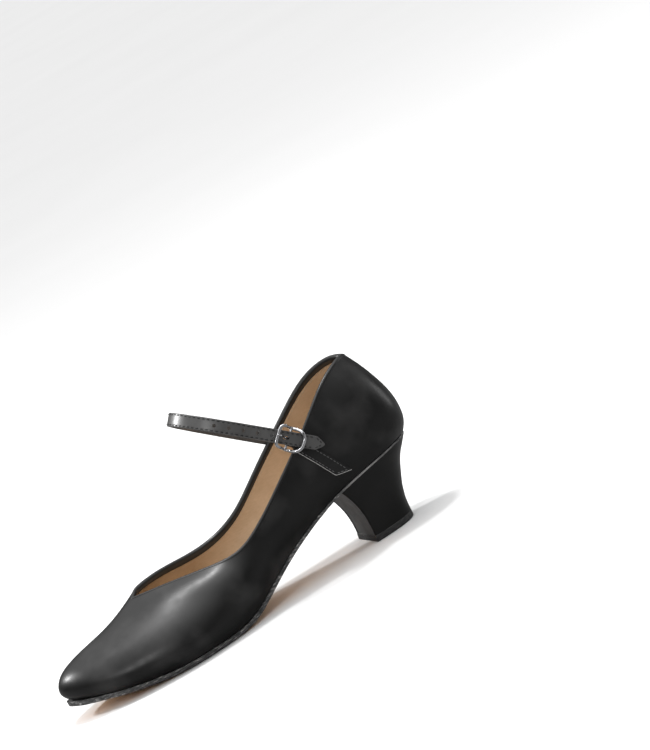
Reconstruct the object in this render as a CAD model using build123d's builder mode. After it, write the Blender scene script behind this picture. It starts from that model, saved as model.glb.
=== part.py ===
"""High-heeled shoe with an ankle strap and buckle, one STEP file per piece, in millimetres.

Y runs along the shoe: the toe is at -Y and the back of the heel at +Y. The lateral side is +X,
the medial side -X, and the heel's top piece stands on Z = 0.
"""
from build123d import *
import math
import os
import numpy as np

os.makedirs("parts", exist_ok=True)

# ================================================================ driving dimensions
leather_t = 1.1          # upper leather
stiffener_t = 0.45       # counter, toe puff and interlining
lining_t = 0.75          # upper lining
layer_gap = 0.35         # cement line between layers
margin_w = 11.0          # lasting margin turned under the insole
insole_t = 2.0
sock_t = 0.7
pad_t = 1.5
top_piece_t = 4.0
cover_t = 0.9            # leather wrapped over the heel
shank_w = 9.0
shank_start, shank_end = -96.0, 0.0
clearance = 0.1          # added to the radius of a fastener for its hole

# heights over the top face of the outsole
margin_lift = 0.12
filler_low, filler_high = 0.14, 1.25     # fillers and shank fill the space inside the margin
insole_lift = 1.38
insole_top = insole_lift + insole_t
pad_lift = insole_top + 0.1
sock_lift = 3.6

# extent of the bottom pieces, and blanks large enough to hold the whole shoe
toe_y, back_y = -224, 42
blank_half_w = 60
blank_h = 140

# fasteners through the heel seat, and rivets of the shank
screw_y = 8.0
SCREW_XY = [(0, screw_y)]
screw_r, screw_head_r = 2.0, 3.5
NAIL_XY = [(-8.5, -6.0), (8.5, -6.0), (-8.5, 14.0), (8.5, 14.0), (0.0, 20.0)]
nail_r, nail_head_r = 0.75, 1.35
RIVET_XY = [(0, -84.0), (0, -14.0)]
rivet_r = 1.5
TOP_NAIL_XY = [(0, 8.5), (-8.5, -6.0), (8.5, -6.0)]
top_nail_r, top_nail_head_r = 0.7, 1.3

BASE = (Align.CENTER, Align.CENTER, Align.MIN)
X_DIR = Vector(1, 0, 0)


# ================================================================ curves
def second_derivatives(t, y, periodic):
    """Second derivatives at the knots of an interpolating cubic spline."""
    h = np.diff(t)
    if periodic:
        m = len(t) - 1
        A = np.zeros((m, m))
        B = np.zeros((m,) + y.shape[1:])
        for i in range(m):
            before, after = h[i - 1], h[i]
            A[i, (i - 1) % m] += before
            A[i, i] += 2 * (before + after)
            A[i, (i + 1) % m] += after
            B[i] = 6 * ((y[i + 1] - y[i]) / after - (y[i] - y[(i - 1) % m]) / before)
        M = np.linalg.solve(A, B)
        return np.concatenate([M, M[:1]])
    A = np.zeros((len(t), len(t)))
    B = np.zeros(y.shape)
    A[0, 0] = A[-1, -1] = 1
    for i in range(1, len(t) - 1):
        A[i, i - 1:i + 2] = h[i - 1], 2 * (h[i - 1] + h[i]), h[i]
        B[i] = 6 * ((y[i + 1] - y[i]) / h[i] - (y[i] - y[i - 1]) / h[i - 1])
    return np.linalg.solve(A, B)


class CubicCurve:
    """Cubic spline through values y (numbers or rows of numbers) at parameters t."""

    def __init__(self, t, y, periodic=False):
        self.t = np.asarray(t, float)
        self.y = np.asarray(y, float)
        self.M = second_derivatives(self.t, self.y, periodic)
        self.periodic = periodic

    def __call__(self, x):
        x = np.atleast_1d(np.asarray(x, float))
        if self.periodic:
            x = self.t[0] + np.mod(x - self.t[0], self.t[-1] - self.t[0])
        i = np.clip(np.searchsorted(self.t, x, side='right') - 1, 0, len(self.t) - 2)
        h = self.t[i + 1] - self.t[i]
        a = (self.t[i + 1] - x) / h
        b = (x - self.t[i]) / h
        if self.y.ndim > 1:
            a, b, h = a[:, None], b[:, None], h[:, None]
        bend = (a ** 3 - a) * self.M[i] + (b ** 3 - b) * self.M[i + 1]
        return a * self.y[i] + b * self.y[i + 1] + bend * h * h / 6


def monotone(t, y):
    """Monotone (Fritsch-Carlson) cubic through the points, a function of one number."""
    t = np.asarray(t, float)
    y = np.asarray(y, float)
    h = np.diff(t)
    d = np.diff(y) / h
    m = np.zeros(len(t))
    m[0], m[-1] = d[0], d[-1]
    for i in range(1, len(t) - 1):
        if d[i - 1] * d[i] > 0:
            w1 = 2 * h[i] + h[i - 1]
            w2 = h[i] + 2 * h[i - 1]
            m[i] = (w1 + w2) / (w1 / d[i - 1] + w2 / d[i])

    def value(x):
        i = np.clip(np.searchsorted(t, x, side='right') - 1, 0, len(t) - 2)
        s = (x - t[i]) / h[i]
        return float((1 + 2 * s) * (1 - s) ** 2 * y[i] + s * (1 - s) ** 2 * h[i] * m[i]
                     + s * s * (3 - 2 * s) * y[i + 1] + s * s * (s - 1) * h[i] * m[i + 1])
    return value


def path_lengths(points, power=1.0):
    """Running sum of the distances between points, each raised to a power."""
    steps = np.linalg.norm(np.diff(points, axis=0), axis=1)
    return np.concatenate([[0], np.cumsum(steps ** power)])


def unit_rows(rows):
    return rows / np.linalg.norm(rows, axis=1, keepdims=True)


def left_normals(tangents):
    """Unit normals to the left of plane tangents."""
    unit = unit_rows(tangents)
    return np.stack([-unit[:, 1], unit[:, 0]], 1)


def pairs(points):
    return [(float(x), float(y)) for x, y in points]


# ================================================================ drawing helpers
def band(first, second):
    """Closed band between two rows of points, the second running back; needs a BuildLine."""
    Spline(*first)
    Line(first[-1], second[0])
    Spline(*second)
    Line(second[-1], first[0])


def circles(places, radius, mode=Mode.ADD):
    """Circles at the given places of the current sketch."""
    with Locations(*places):
        Circle(radius, mode=mode)


def peg(x, y, z, radius, height, mode=Mode.ADD):
    """Upright cylinder standing at z in the current part."""
    with Locations((x, y, z)):
        Cylinder(radius, height, align=BASE, mode=mode)


def save(name, part):
    part.label = name
    export_step(part, f"parts/{name}.step")


# ================================================================ side profile of the bottom
# underside of the outsole: distance along the shoe, height
SOLE_Y = [-230, -218, -205, -190, -176, -164, -154, -140, -128, -118, -110, -102,
          -94, -84, -72, -58, -42, -24, -8, 8, 22, 36, 44]
SOLE_Z = [13.6, 10.1, 6.75, 3.8, 1.7, 0.45, 0.0, 0.0, 0.0, 0.35, 1.5, 3.8,
          7.3, 12.3, 18.4, 25.0, 31.7, 37.8, 41.2, 43.7, 45.4, 46.9, 47.8]
sole_z = monotone(SOLE_Y, SOLE_Z)
# outsole thickness: full at the forepart, thinned through the waist and over the heel
sole_t = monotone([-230, -110, -75, -45, -10, 44], [3.3, 3.3, 2.9, 2.3, 1.3, 1.3])
STATIONS = np.arange(-224, 42.1, 3.5)


def bed_z(y):
    """Top face of the outsole, where the lasted upper sits."""
    return sole_z(y) + sole_t(y)


def strip(y_from, y_to, low, high):
    """Two rows of (y, z) points along the bottom, the second running back.

    low and high are heights over the outsole's top face, numbers or functions of y."""
    inner = STATIONS[(STATIONS > y_from + 1) & (STATIONS < y_to - 1)].tolist()
    ys = [float(y_from)] + inner + [float(y_to)]
    lower, upper = [[(y, bed_z(y) + (lift(y) if callable(lift) else lift)) for y in ys]
                    for lift in (low, high)]
    return lower, upper[::-1]


# ================================================================ shape of the upper
# Each rib runs from the feather line (edge of the bottom) up to the topline.
# The first point is (x, y), its height follows the sole; the others are (x, y, z).
LATERAL_RIBS = [         # back seam -> toe
    [(0, 35.3), (0, 38.2, 53.5), (0, 39.4, 60), (0, 39.6, 67), (0, 38.0, 76.5),
     (0, 35.4, 84.5), (0, 31.8, 93.5), (0, 26.0, 104.8)],
    [(14.5, 30.2), (16.6, 33.2, 53.5), (17.6, 34.6, 60), (17.6, 34.6, 67), (16.4, 32.9, 77),
     (14.6, 30.2, 86), (12.4, 26.8, 95), (9.2, 21.6, 106.2)],
    [(23.2, 15.5), (26.6, 17.5, 53), (28.2, 18.6, 60), (28.3, 18.5, 68), (26.8, 17.0, 78),
     (24.2, 14.8, 88), (21.2, 12.6, 96.5), (17.6, 10.2, 104.6)],
    [(25.6, -5), (29.6, -4.2, 52), (31.0, -3.6, 61), (30.8, -3.2, 70), (29.2, -3.4, 79),
     (26.6, -4.0, 88), (23.4, -5.0, 97.6)],
    [(24.6, -28), (29.2, -27, 47), (31.0, -26, 56), (31.2, -25.5, 65), (30.2, -25.2, 74),
     (28.0, -25.0, 84.0)],
    [(22.8, -55), (27.6, -54, 37), (30.0, -53, 46), (30.6, -52, 55), (29.8, -51.0, 66.6)],
    [(24.2, -79), (29.2, -78, 26), (31.6, -77, 34), (31.8, -76, 42), (30.8, -75.0, 51.6)],
    [(29.6, -100), (34.8, -99.5, 15), (36.6, -98.5, 23), (35.6, -97.5, 33),
     (31.8, -96.0, 43.2)],
    [(34.8, -119), (40.0, -119.5, 10.5), (41.0, -120, 19), (38.2, -119, 29),
     (32.4, -117, 37.5), (24.8, -113.5, 43.0)],
    [(37.6, -138), (42.6, -139, 9.5), (42.6, -140, 17), (38.6, -140, 26),
     (31.6, -138.5, 34), (23.0, -134.5, 41.0), (15.8, -130, 44.6)],
    [(36.4, -157), (41.0, -158.5, 9.8), (40.4, -160, 17), (35.6, -160, 25.5),
     (27.6, -157.5, 33.2), (17.6, -151, 40.6), (8.4, -142.5, 45.6)],
    [(30.0, -179), (33.6, -181.5, 11.0), (32.6, -183, 17.5), (28.2, -182.5, 25),
     (21.0, -178, 31.8), (11.4, -167, 38.8), (3.0, -151.5, 46.2)],
    [(17.8, -203.2), (20.2, -205.6, 14.4), (19.6, -206.4, 19.6), (16.5, -203.7, 26.0),
     (11.4, -196, 31.8), (5.4, -180, 37.2), (-0.6, -156.0, 46.4)],
]
TOE_RIB = [(-6.5, -220.4), (-6.8, -222.6, 16.8), (-6.6, -223.1, 20.8), (-6.2, -219.2, 27.3),
           (-5.8, -208.5, 32.6), (-5.0, -187, 37.0), (-3.0, -158.2, 46.6)]
MEDIAL_RIBS = [          # toe -> heel; the last two ribs mirror the lateral side
    [(-23.2, -203.4), (-26.0, -205.6, 14.4), (-25.8, -206.4, 19.9), (-23.0, -202.9, 26.4),
     (-18.6, -195.5, 32.0), (-12.6, -180, 37.6), (-6.2, -156.4, 47.6)],
    [(-30.2, -179), (-34.4, -181, 11.2), (-34.0, -182.5, 18.0), (-30.4, -182, 25.6),
     (-24.2, -178, 32.2), (-16.8, -167, 40.0), (-10.6, -152.4, 49.0)],
    [(-34.6, -157), (-39.2, -158.5, 9.8), (-38.8, -159.5, 17.4), (-35.0, -159.5, 26),
     (-28.4, -157, 33.6), (-21.2, -151, 42.2), (-15.2, -143.0, 49.4)],
    [(-35.0, -138), (-39.8, -139, 9.6), (-40.0, -139.5, 17.2), (-36.8, -139.5, 26),
     (-31.0, -138, 34), (-25.6, -134.5, 42.6), (-20.6, -130, 48.6)],
    [(-32.0, -119), (-37.2, -119.5, 10.5), (-38.4, -119.5, 19), (-36.2, -118.5, 29),
     (-31.6, -116.5, 38.6), (-26.8, -113.5, 46.4)],
    [(-26.4, -100), (-32.0, -99.5, 15), (-34.6, -98.5, 23.4), (-34.2, -97.5, 33.6),
     (-31.0, -96.0, 45.8)],
    [(-20.6, -79), (-26.6, -78, 25.5), (-30.0, -77, 34), (-31.0, -76, 42),
     (-30.2, -75.0, 51.6)],
    [(-19.4, -55), (-25.4, -54, 36.6), (-29.0, -53, 46), (-30.2, -52, 55),
     (-29.6, -51.0, 66.6)],
    [(-22.6, -28), (-28.2, -27, 47), (-30.6, -26, 56), (-31.0, -25.5, 65),
     (-30.0, -25.2, 74), (-28.0, -25.0, 84.0)],
    [(-25.2, -5), (-29.4, -4.2, 52), (-30.9, -3.6, 61), (-30.8, -3.2, 70),
     (-29.2, -3.4, 79), (-26.6, -4.0, 88), (-23.4, -5.0, 97.6)],
] + [[(-p[0], *p[1:]) for p in LATERAL_RIBS[i]] for i in (2, 1)]

RIB_ROWS = 15            # evenly spaced points kept on every rib
feather_lift = 0.15      # feather line over the outsole's top face


def rib_points(rib):
    """RIB_ROWS points evenly spaced along the spline through a rib."""
    x, y = rib[0]
    points = np.array([(x, y, bed_z(y) + feather_lift)] + rib[1:], float)
    t = path_lengths(points)
    dense = CubicCurve(t, points)(np.linspace(0, t[-1], 400))
    lengths = path_lengths(dense)
    wanted = np.linspace(0, lengths[-1], RIB_ROWS)
    return np.stack([np.interp(wanted, lengths, dense[:, k]) for k in range(3)], 1)


class Upper:
    """Outer face of the upper.

    u runs from the back seam (0) by the lateral side, the toe and the medial side back to the
    seam (1); v runs from the feather line (0) up to the topline (1)."""

    def __init__(self):
        ribs = np.array([rib_points(r) for r in LATERAL_RIBS + [TOE_RIB] + MEDIAL_RIBS])
        ribs = np.concatenate([ribs, ribs[:1]])
        middle = (ribs[:, 0] + ribs[:, RIB_ROWS // 2]) / 2
        t = path_lengths(middle, power=0.5)
        self.around = CubicCurve(t / t[-1], ribs.reshape(len(ribs), -1), periodic=True)

    def grid(self, U, V):
        """Points indexed by u, v, xyz."""
        rows = self.around(U).reshape(len(U), RIB_ROWS, 3)
        rows = rows.transpose(1, 0, 2).reshape(RIB_ROWS, -1)
        upward = CubicCurve(np.linspace(0, 1, RIB_ROWS), rows)
        return upward(V).reshape(len(V), len(U), 3).transpose(1, 0, 2)

    def normals(self, U, V, step=2e-3):
        """Unit normals pointing to the inside of the shoe."""
        along_u = self.grid(U + step, V) - self.grid(U - step, V)
        along_v = self.grid(U, V + step) - self.grid(U, V - step)
        n = np.cross(along_u, along_v)
        return n / np.linalg.norm(n, axis=2, keepdims=True)

    def offset(self, U, V, depth):
        return self.grid(U, V) + self.normals(U, V) * depth


upper = Upper()
OUTLINE_POINTS = 72


def outline(inset):
    """Plan outline of the bottom, moved inwards by inset."""
    P = upper.grid(np.arange(OUTLINE_POINTS) / OUTLINE_POINTS, np.array([0.0]))[:, 0, :2]
    return pairs(P - left_normals(np.roll(P, -1, 0) - np.roll(P, 1, 0)) * inset)


def skin(grid):
    rows = [[Vector(*map(float, p)) for p in row] for row in grid]
    return Face.make_surface_from_array_of_points(rows, tol=0.02)


def sheet(grid_a, grid_b):
    """Closed solid between two point grids of the same shape."""
    face_a, face_b = skin(grid_a), skin(grid_b)
    edge_pairs = zip(face_a.outer_wire().edges(), face_b.outer_wire().edges())
    rims = [Face.make_surface_from_curves(a, b) for a, b in edge_pairs]
    return Solid(Shell([face_a, face_b] + rims))


def wall(U, V, outer_depth, inner_depth):
    """Layer of the upper between two depths below its outer face."""
    return sheet(upper.offset(U, V, outer_depth), upper.offset(U, V, inner_depth))


# ================================================================ upper
seam_u = 0.0003          # the two ends of the upper stop this short of the back seam
U_ALL = np.concatenate([[seam_u], np.linspace(0.02, 0.44, 22)[:-1],
                        np.linspace(0.44, 0.56, 10)[:-1], np.linspace(0.56, 0.98, 22),
                        [1 - seam_u]])
# the same stations, running from the toe across the back seam to the toe
U_BACK = np.concatenate([U_ALL[U_ALL > 0.5][:-1] - 1, [0.0], U_ALL[U_ALL < 0.5][1:]])
V_ALL = np.array([0, 0.08, 0.18, 0.3, 0.42, 0.52, 0.62, 0.72, 0.82, 0.91, 1.0])
V_LINING = V_ALL[1:]     # inner layers start above the feather line

# depths of the layers below the outer face
stiffener_outer = leather_t + layer_gap
stiffener_inner = stiffener_outer + stiffener_t
lining_outer = stiffener_inner + layer_gap
lining_inner = lining_outer + lining_t

# outer leather: the wall of the shoe with its lasting margin turned under the foot bed
with BuildPart() as upper_leather:
    with BuildSketch(Plane.YZ):
        with BuildLine():
            band(*strip(toe_y, back_y, margin_lift, margin_lift + leather_t))
        make_face()
    extrude(amount=blank_half_w, both=True)
    with BuildSketch(Plane.XY):
        with BuildLine():
            Spline(*outline(0.25), periodic=True)
        make_face()
        with BuildLine():
            Spline(*outline(margin_w), periodic=True)
        make_face(mode=Mode.SUBTRACT)
    extrude(amount=blank_h, mode=Mode.INTERSECT)
    add(wall(U_ALL, V_ALL, 0.0, leather_t))
save("upper_leather", upper_leather.part)


def boxed_piece(stock, centre, size):
    """The part of a stock solid that lies inside a box."""
    with BuildPart() as piece:
        add(stock)
        with Locations(centre):
            Box(*size, mode=Mode.INTERSECT)
    return piece.part


# stiff cap at the toe and cup at the heel, cloth between them, all between leather and lining
stiffener = wall(U_ALL, V_LINING, stiffener_outer, stiffener_inner)
back_stiffener = wall(U_BACK, V_LINING, stiffener_outer, stiffener_inner)
save("toe_puff", boxed_piece(stiffener, (0, -210, 30), (120, 42, 80)))
save("heel_counter", boxed_piece(back_stiffener, (0, 13, 62), (120, 74, 42)))
save("upper_interlining", boxed_piece(stiffener, (0, -106.5, 50), (120, 163.8, 120)))

with BuildPart() as upper_lining:
    add(wall(U_ALL, V_LINING, lining_outer, lining_inner))
save("upper_lining", upper_lining.part)

# folded edge that closes the layers along the topline
TOP_V = np.array([1.0])
RIM_HEIGHTS = (0.1, 0.55, 1.0, 1.45)
binding_overlap = 0.05
topline = upper.grid(U_ALL, TOP_V)[:, 0]
topline_up = unit_rows(topline - upper.grid(U_ALL, np.array([0.985]))[:, 0])
topline_in = upper.normals(U_ALL, TOP_V)[:, 0]


def rim(depth):
    """Grid standing on the topline at a depth below the outer face."""
    return np.stack([topline + topline_in * depth + topline_up * h for h in RIM_HEIGHTS], 1)


with BuildPart() as topline_binding:
    add(sheet(rim(-binding_overlap), rim(lining_inner + binding_overlap)))
save("topline_binding", topline_binding.part)


# ================================================================ bottom
def bottom_layer(y_from, y_to, low, high, inset, holes=()):
    """Layer following the bottom, cut to the inset plan outline; holes are (places, radius)."""
    with BuildPart() as layer:
        with BuildSketch(Plane.YZ):
            with BuildLine():
                band(*strip(y_from, y_to, low, high))
            make_face()
        extrude(amount=blank_half_w, both=True)
        with BuildSketch(Plane.XY):
            with BuildLine():
                Spline(*outline(inset), periodic=True)
            make_face()
            for places, radius in holes:
                circles(places, radius, mode=Mode.SUBTRACT)
        extrude(amount=blank_h, mode=Mode.INTERSECT)
    return layer.part


SHAFT_HOLES = [(SCREW_XY, screw_r + clearance), (NAIL_XY, nail_r + clearance)]
HEAD_HOLES = [(SCREW_XY, screw_head_r + clearance), (NAIL_XY, nail_head_r + clearance),
              (RIVET_XY, rivet_r + clearance)]

insole_blank = bottom_layer(toe_y, back_y, insole_lift, insole_top, inset=3.4)
with BuildPart() as insole_board:
    add(insole_blank)
    with BuildSketch(Plane.XY):
        for hole_places, hole_radius in HEAD_HOLES:
            circles(hole_places, hole_radius)
    extrude(amount=blank_h, mode=Mode.SUBTRACT)
save("insole_board", insole_board.part)

with BuildPart() as shank_spring:
    with BuildSketch(Plane.YZ):
        with BuildLine():
            band(*strip(shank_start, shank_end, filler_low, filler_high))
        make_face()
    extrude(amount=blank_half_w, both=True)
    with BuildSketch(Plane.XY):
        with Locations((0, (shank_start + shank_end) / 2)):
            SlotOverall(shank_end - shank_start, shank_w, rotation=90)
        circles(RIVET_XY, rivet_r + clearance, mode=Mode.SUBTRACT)
    extrude(amount=blank_h, mode=Mode.INTERSECT)
save("shank_spring", shank_spring.part)

with BuildPart() as shank_rivets:
    for x, y in RIVET_XY:
        peg(x, y, bed_z(y) + 0.9, rivet_r, 1.9)
save("shank_rivets", shank_rivets.part)

# fillers inside the lasting margin, in front of and behind the shank
filler_inset = margin_w + 0.3
save("bottom_filler", bottom_layer(toe_y, shank_start - 1.5, filler_low, filler_high,
                                   inset=filler_inset))
save("seat_filler", bottom_layer(shank_end + 1.5, back_y, filler_low, filler_high,
                                 inset=filler_inset, holes=SHAFT_HOLES))

# pad thickness along y, and the rise of the sock lining over it
pad_h = monotone([-40, -26, -12, 60], [0.25, 0.25, pad_t, pad_t])
sock_rise = monotone([-240, -34, -26, -12, 60], [0.0, 0.0, 0.35, pad_t, pad_t])
save("heel_pad", bottom_layer(-25, back_y, pad_lift, lambda y: pad_lift + pad_h(y), inset=5.0))
save("sock_lining", bottom_layer(toe_y, back_y, lambda y: sock_lift + sock_rise(y),
                                 lambda y: sock_lift + sock_rise(y) + sock_t, inset=3.7))

# leather outsole, full length, flat on the ground under the ball of the foot
flat_start, flat_end = (-155.0, 0.0), (-128.0, 0.0)
outline_start = 9        # outline point at which the outsole's closed spline starts
sole_outline = outline(0.6)
underside, topside = strip(toe_y, back_y, lambda y: -sole_t(y), 0.0)
with BuildPart() as outsole:
    with BuildSketch(Plane.YZ):
        with BuildLine():
            Spline(*[p for p in underside if p[0] < -157], flat_start)
            Line(flat_start, flat_end)
            Spline(flat_end, *[p for p in underside if p[0] > -126])
            Line(underside[-1], topside[0])
            Spline(*topside)
            Line(topside[-1], underside[0])
        make_face()
    extrude(amount=blank_half_w, both=True)
    with BuildSketch(Plane.XY):
        with BuildLine():
            Spline(*sole_outline[outline_start:], *sole_outline[:outline_start], periodic=True)
        make_face()
    extrude(amount=blank_h, mode=Mode.INTERSECT)
    with BuildSketch(Plane.XY):
        for hole_places, hole_radius in SHAFT_HOLES:
            circles(hole_places, hole_radius)
    extrude(amount=blank_h, mode=Mode.SUBTRACT)
save("outsole", outsole.part)

# ================================================================ heel
# height, y of the back, half width
HEEL_Z = [-2, 0, 9, 18, 26, 32, 37, 42, 47, 52]
HEEL_BACK = [15.6, 15.6, 16.1, 18.0, 21.2, 24.0, 27.0, 31.2, 35.2, 38.6]
HEEL_HALF = [17.4, 17.5, 17.8, 18.9, 20.6, 22.2, 23.8, 25.4, 26.8, 28.0]
heel_back = monotone(HEEL_Z, HEEL_BACK)
heel_half = monotone(HEEL_Z, HEEL_HALF)
# height, y of the breast (the heel's front face)
BREAST_Z = [-2, 0, 3, 9, 16, 21, 26, 31, 36, 40, 60]
BREAST_Y = [-16.6, -16.4, -15.9, -15.5, -15.7, -16.5, -17.8, -19.6, -22.0, -24.2, -27.0]
breast = monotone(BREAST_Z, BREAST_Y)

HEEL_LEVELS = [4.1, 8, 13, 18, 23, 28, 33, 38, 43, 48, 52]
HOLLOW_LEVELS = [3.5] + HEEL_LEVELS[1:-1] + [53]     # runs out past both ends of the heel
SEAT_LINE = [(y, sole_z(y) - 0.06) for y in np.linspace(-40, 46, 24).tolist()]
SECTION_POINTS = 17


def heel_outline(z, inset=0.0):
    """Heel section at a height: curve round the back, straight breast; needs a BuildLine."""
    back = heel_back(z) - inset
    front = breast(z) + inset
    half = heel_half(z) - inset
    roundness = 2.7 + 0.012 * z
    points = []
    for k in range(SECTION_POINTS):
        angle = math.pi * k / (SECTION_POINTS - 1)   # 0 lateral corner, pi medial corner
        c = math.cos(angle)
        x = half * math.copysign(abs(c) ** 0.92, c)
        points.append((x, front + (back - front) * abs(math.sin(angle)) ** (2 / roundness)))
    Spline(*points)
    Line(points[-1], points[0])


def above_seat():
    """Side view of the space above the heel seat; needs a BuildLine."""
    Spline(*SEAT_LINE)
    Polyline(SEAT_LINE[-1], (46, 80), (-40, 80), SEAT_LINE[0])


with BuildPart() as heel_block:
    for z in HEEL_LEVELS:
        with BuildSketch(Plane.XY.offset(z)):
            with BuildLine():
                heel_outline(z, cover_t + 0.1)
            make_face()
    loft()
    with BuildSketch(Plane.YZ):
        with BuildLine():
            above_seat()
        make_face()
    extrude(amount=blank_half_w, both=True, mode=Mode.SUBTRACT)
    peg(0, screw_y, sole_z(screw_y) - 17, screw_r + clearance, 30, Mode.SUBTRACT)
    for x, y in NAIL_XY:
        peg(x, y, sole_z(y) - 13, nail_r + clearance, 30, Mode.SUBTRACT)
    for x, y in TOP_NAIL_XY:
        peg(x, y, 3, top_nail_r + clearance, 10.3, Mode.SUBTRACT)
save("heel_block", heel_block.part)

# front panel of the cover: half width, height
PANEL = [(14.6, 0), (15.4, 14), (18.0, 28), (21.2, 42), (21.2, 60)]
panel_gap = 0.1


def heel_shell(panel_inset, panel_mode):
    """Leather shell round the heel, with the front panel cut away or kept alone."""
    right = [(w - panel_inset, z) for w, z in PANEL]
    left = [(-w, z) for w, z in right]
    with BuildPart() as shell:
        for levels, inset, mode in ((HEEL_LEVELS, 0.0, Mode.ADD),
                                    (HOLLOW_LEVELS, cover_t, Mode.SUBTRACT)):
            for z in levels:
                with BuildSketch(Plane.XY.offset(z)):
                    with BuildLine():
                        heel_outline(z, inset)
                    make_face()
            loft(mode=mode)
        with BuildSketch(Plane.YZ):
            with BuildLine():
                above_seat()
            make_face()
        extrude(amount=blank_half_w, both=True, mode=Mode.SUBTRACT)
        with BuildSketch(Plane.XZ.offset(40)):
            with BuildLine():
                Polyline(left[0], *right, *left[::-1])
            make_face()
        extrude(amount=-38, mode=panel_mode)
    return shell.part


save("heel_cover", heel_shell(0.0, Mode.SUBTRACT))
save("heel_breast_cover", heel_shell(panel_gap, Mode.INTERSECT))

with BuildPart() as heel_top_piece:
    for z in (0.0, 2.0, top_piece_t):
        with BuildSketch(Plane.XY.offset(z)):
            with BuildLine():
                heel_outline(z)
            make_face()
    loft()
    for x, y in TOP_NAIL_XY:
        peg(x, y, -0.1, top_nail_head_r + clearance, 1.05, Mode.SUBTRACT)
        peg(x, y, -0.1, top_nail_r + clearance, 6, Mode.SUBTRACT)
save("heel_top_piece", heel_top_piece.part)

top_nail_z = 0.05        # underside of the nail heads
top_nail_len = 10.5      # without the point
with BuildPart() as top_piece_nails:
    for x, y in TOP_NAIL_XY:
        peg(x, y, top_nail_z, top_nail_head_r, 0.8)
        peg(x, y, top_nail_z, top_nail_r, top_nail_len)
        with Locations((x, y, top_nail_z + top_nail_len)):
            Cone(top_nail_r, 0.1, 2.0, align=BASE)
save("top_piece_nails", top_piece_nails.part)

# countersunk screw with a cross recess, its heights measured from the insole's top
screw_top = bed_z(screw_y) + insole_top
with BuildPart() as heel_screw:
    with Locations((0, screw_y, screw_top - 2.0)):
        Cone(screw_r, screw_head_r, 1.6, align=BASE)
    peg(0, screw_y, screw_top - 18.0, screw_r, 16.2)
    with Locations((0, screw_y, screw_top - 20.5)):
        Cone(0.3, screw_r, 2.5, align=BASE)
    with BuildSketch(Plane.XY.offset(screw_top - 0.4)):
        with Locations((0, screw_y)):
            Rectangle(5, 0.9)
            Rectangle(0.9, 5)
    extrude(amount=-1.0, mode=Mode.SUBTRACT)
save("heel_screw", heel_screw.part)

nail_sink = 0.35
nail_head_t = 0.8
nail_len = 15.0
with BuildPart() as heel_nails:
    for x, y in NAIL_XY:
        nail_top = bed_z(y) + insole_top - nail_sink
        peg(x, y, nail_top - nail_head_t, nail_head_r, nail_head_t)
        peg(x, y, nail_top - nail_len, nail_r, nail_len)
save("heel_nails", heel_nails.part)

# ================================================================ strap
strap_w = 8.2
strap_leather_t = 0.9
strap_lining_t = 0.6
strap_half_t = (strap_leather_t + strap_lining_t + 0.1) / 2
strap_angle = math.radians(40.0)     # the strap loop rises towards the front
tab_angle = math.radians(48.0)       # the buckle tab falls towards the back
buckle_y, buckle_z = -37.4, 84.0
prong_cross = 2.6        # the prong crosses the strap this far in front of the bar
quarter_x = 29.0         # outer face of the quarter beside the buckle
strap_mid = quarter_x + 3.6 + strap_half_t
hole_pitch = 8.6
hole_r = 1.0

strap_forward = Vector(0, -math.cos(strap_angle), math.sin(strap_angle))
strap_across = Vector(0, math.sin(strap_angle), math.cos(strap_angle))
tab_down = Vector(0, math.cos(tab_angle), -math.sin(tab_angle))
bar_dir = Vector(0, math.sin(tab_angle), math.cos(tab_angle))

strap_shift = (tab_down * -prong_cross).dot(strap_across)
strap_origin = Vector(0, buckle_y, buckle_z) + strap_across * strap_shift
# loop plane: local y runs backwards, down the strap's tail
loop_plane = Plane(origin=strap_origin, x_dir=X_DIR, z_dir=strap_across)
# tail plane: local x runs down the tail, local y across the strap
tail_plane = Plane(origin=strap_origin, x_dir=-strap_forward, z_dir=X_DIR)

# middle line of the strap: x, distance forwards; from the medial side round to the tail
LOOP = [(-30.6, -4.6), (-31.8, 8), (-31.2, 24), (-26.8, 42), (-16, 57.2), (0, 64.2),
        (16, 58.6), (26.8, 44), (31.6, 26), (33.2, 12),
        (strap_mid, 0), (strap_mid, -12), (strap_mid - 0.1, -23.6)]
LOOP_LENGTHS = path_lengths(LOOP)
loop_end = LOOP_LENGTHS[-1]
loop_curve = CubicCurve(LOOP_LENGTHS, LOOP)
LOOP_STATIONS = np.linspace(0, loop_end, 49)
# what is cut off around the pointed end of the tail, in the tail plane
TIP = [(18.2, 4.2), (23.7, 0.25), (23.7, -0.25), (18.2, -4.2),
       (18.2, -8), (30, -8), (30, 8), (18.2, 8)]

bar_station = LOOP_LENGTHS[10]       # where the strap passes the buckle bar
HOLE_STATIONS = [bar_station - prong_cross - hole_pitch * k for k in range(6)]


def loop_point(s, outwards=0.0):
    """Points (x, forwards) of the strap's middle line, moved outwards."""
    s = np.atleast_1d(s)
    ahead = loop_curve(np.clip(s + 0.05, 0, loop_end))
    behind = loop_curve(np.clip(s - 0.05, 0, loop_end))
    return loop_curve(s) + left_normals(ahead - behind) * outwards


def in_loop_plane(points):
    return pairs(points * [1, -1])


def hole_plane(s):
    """Plane square to the strap's thickness at a station."""
    point = loop_point(s)[0]
    normal = loop_point(s, 1.0)[0] - point
    origin, z_dir = [X_DIR * float(x) + strap_forward * float(d) for x, d in (point, normal)]
    return Plane(origin=strap_origin + origin, x_dir=strap_across, z_dir=z_dir)


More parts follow.
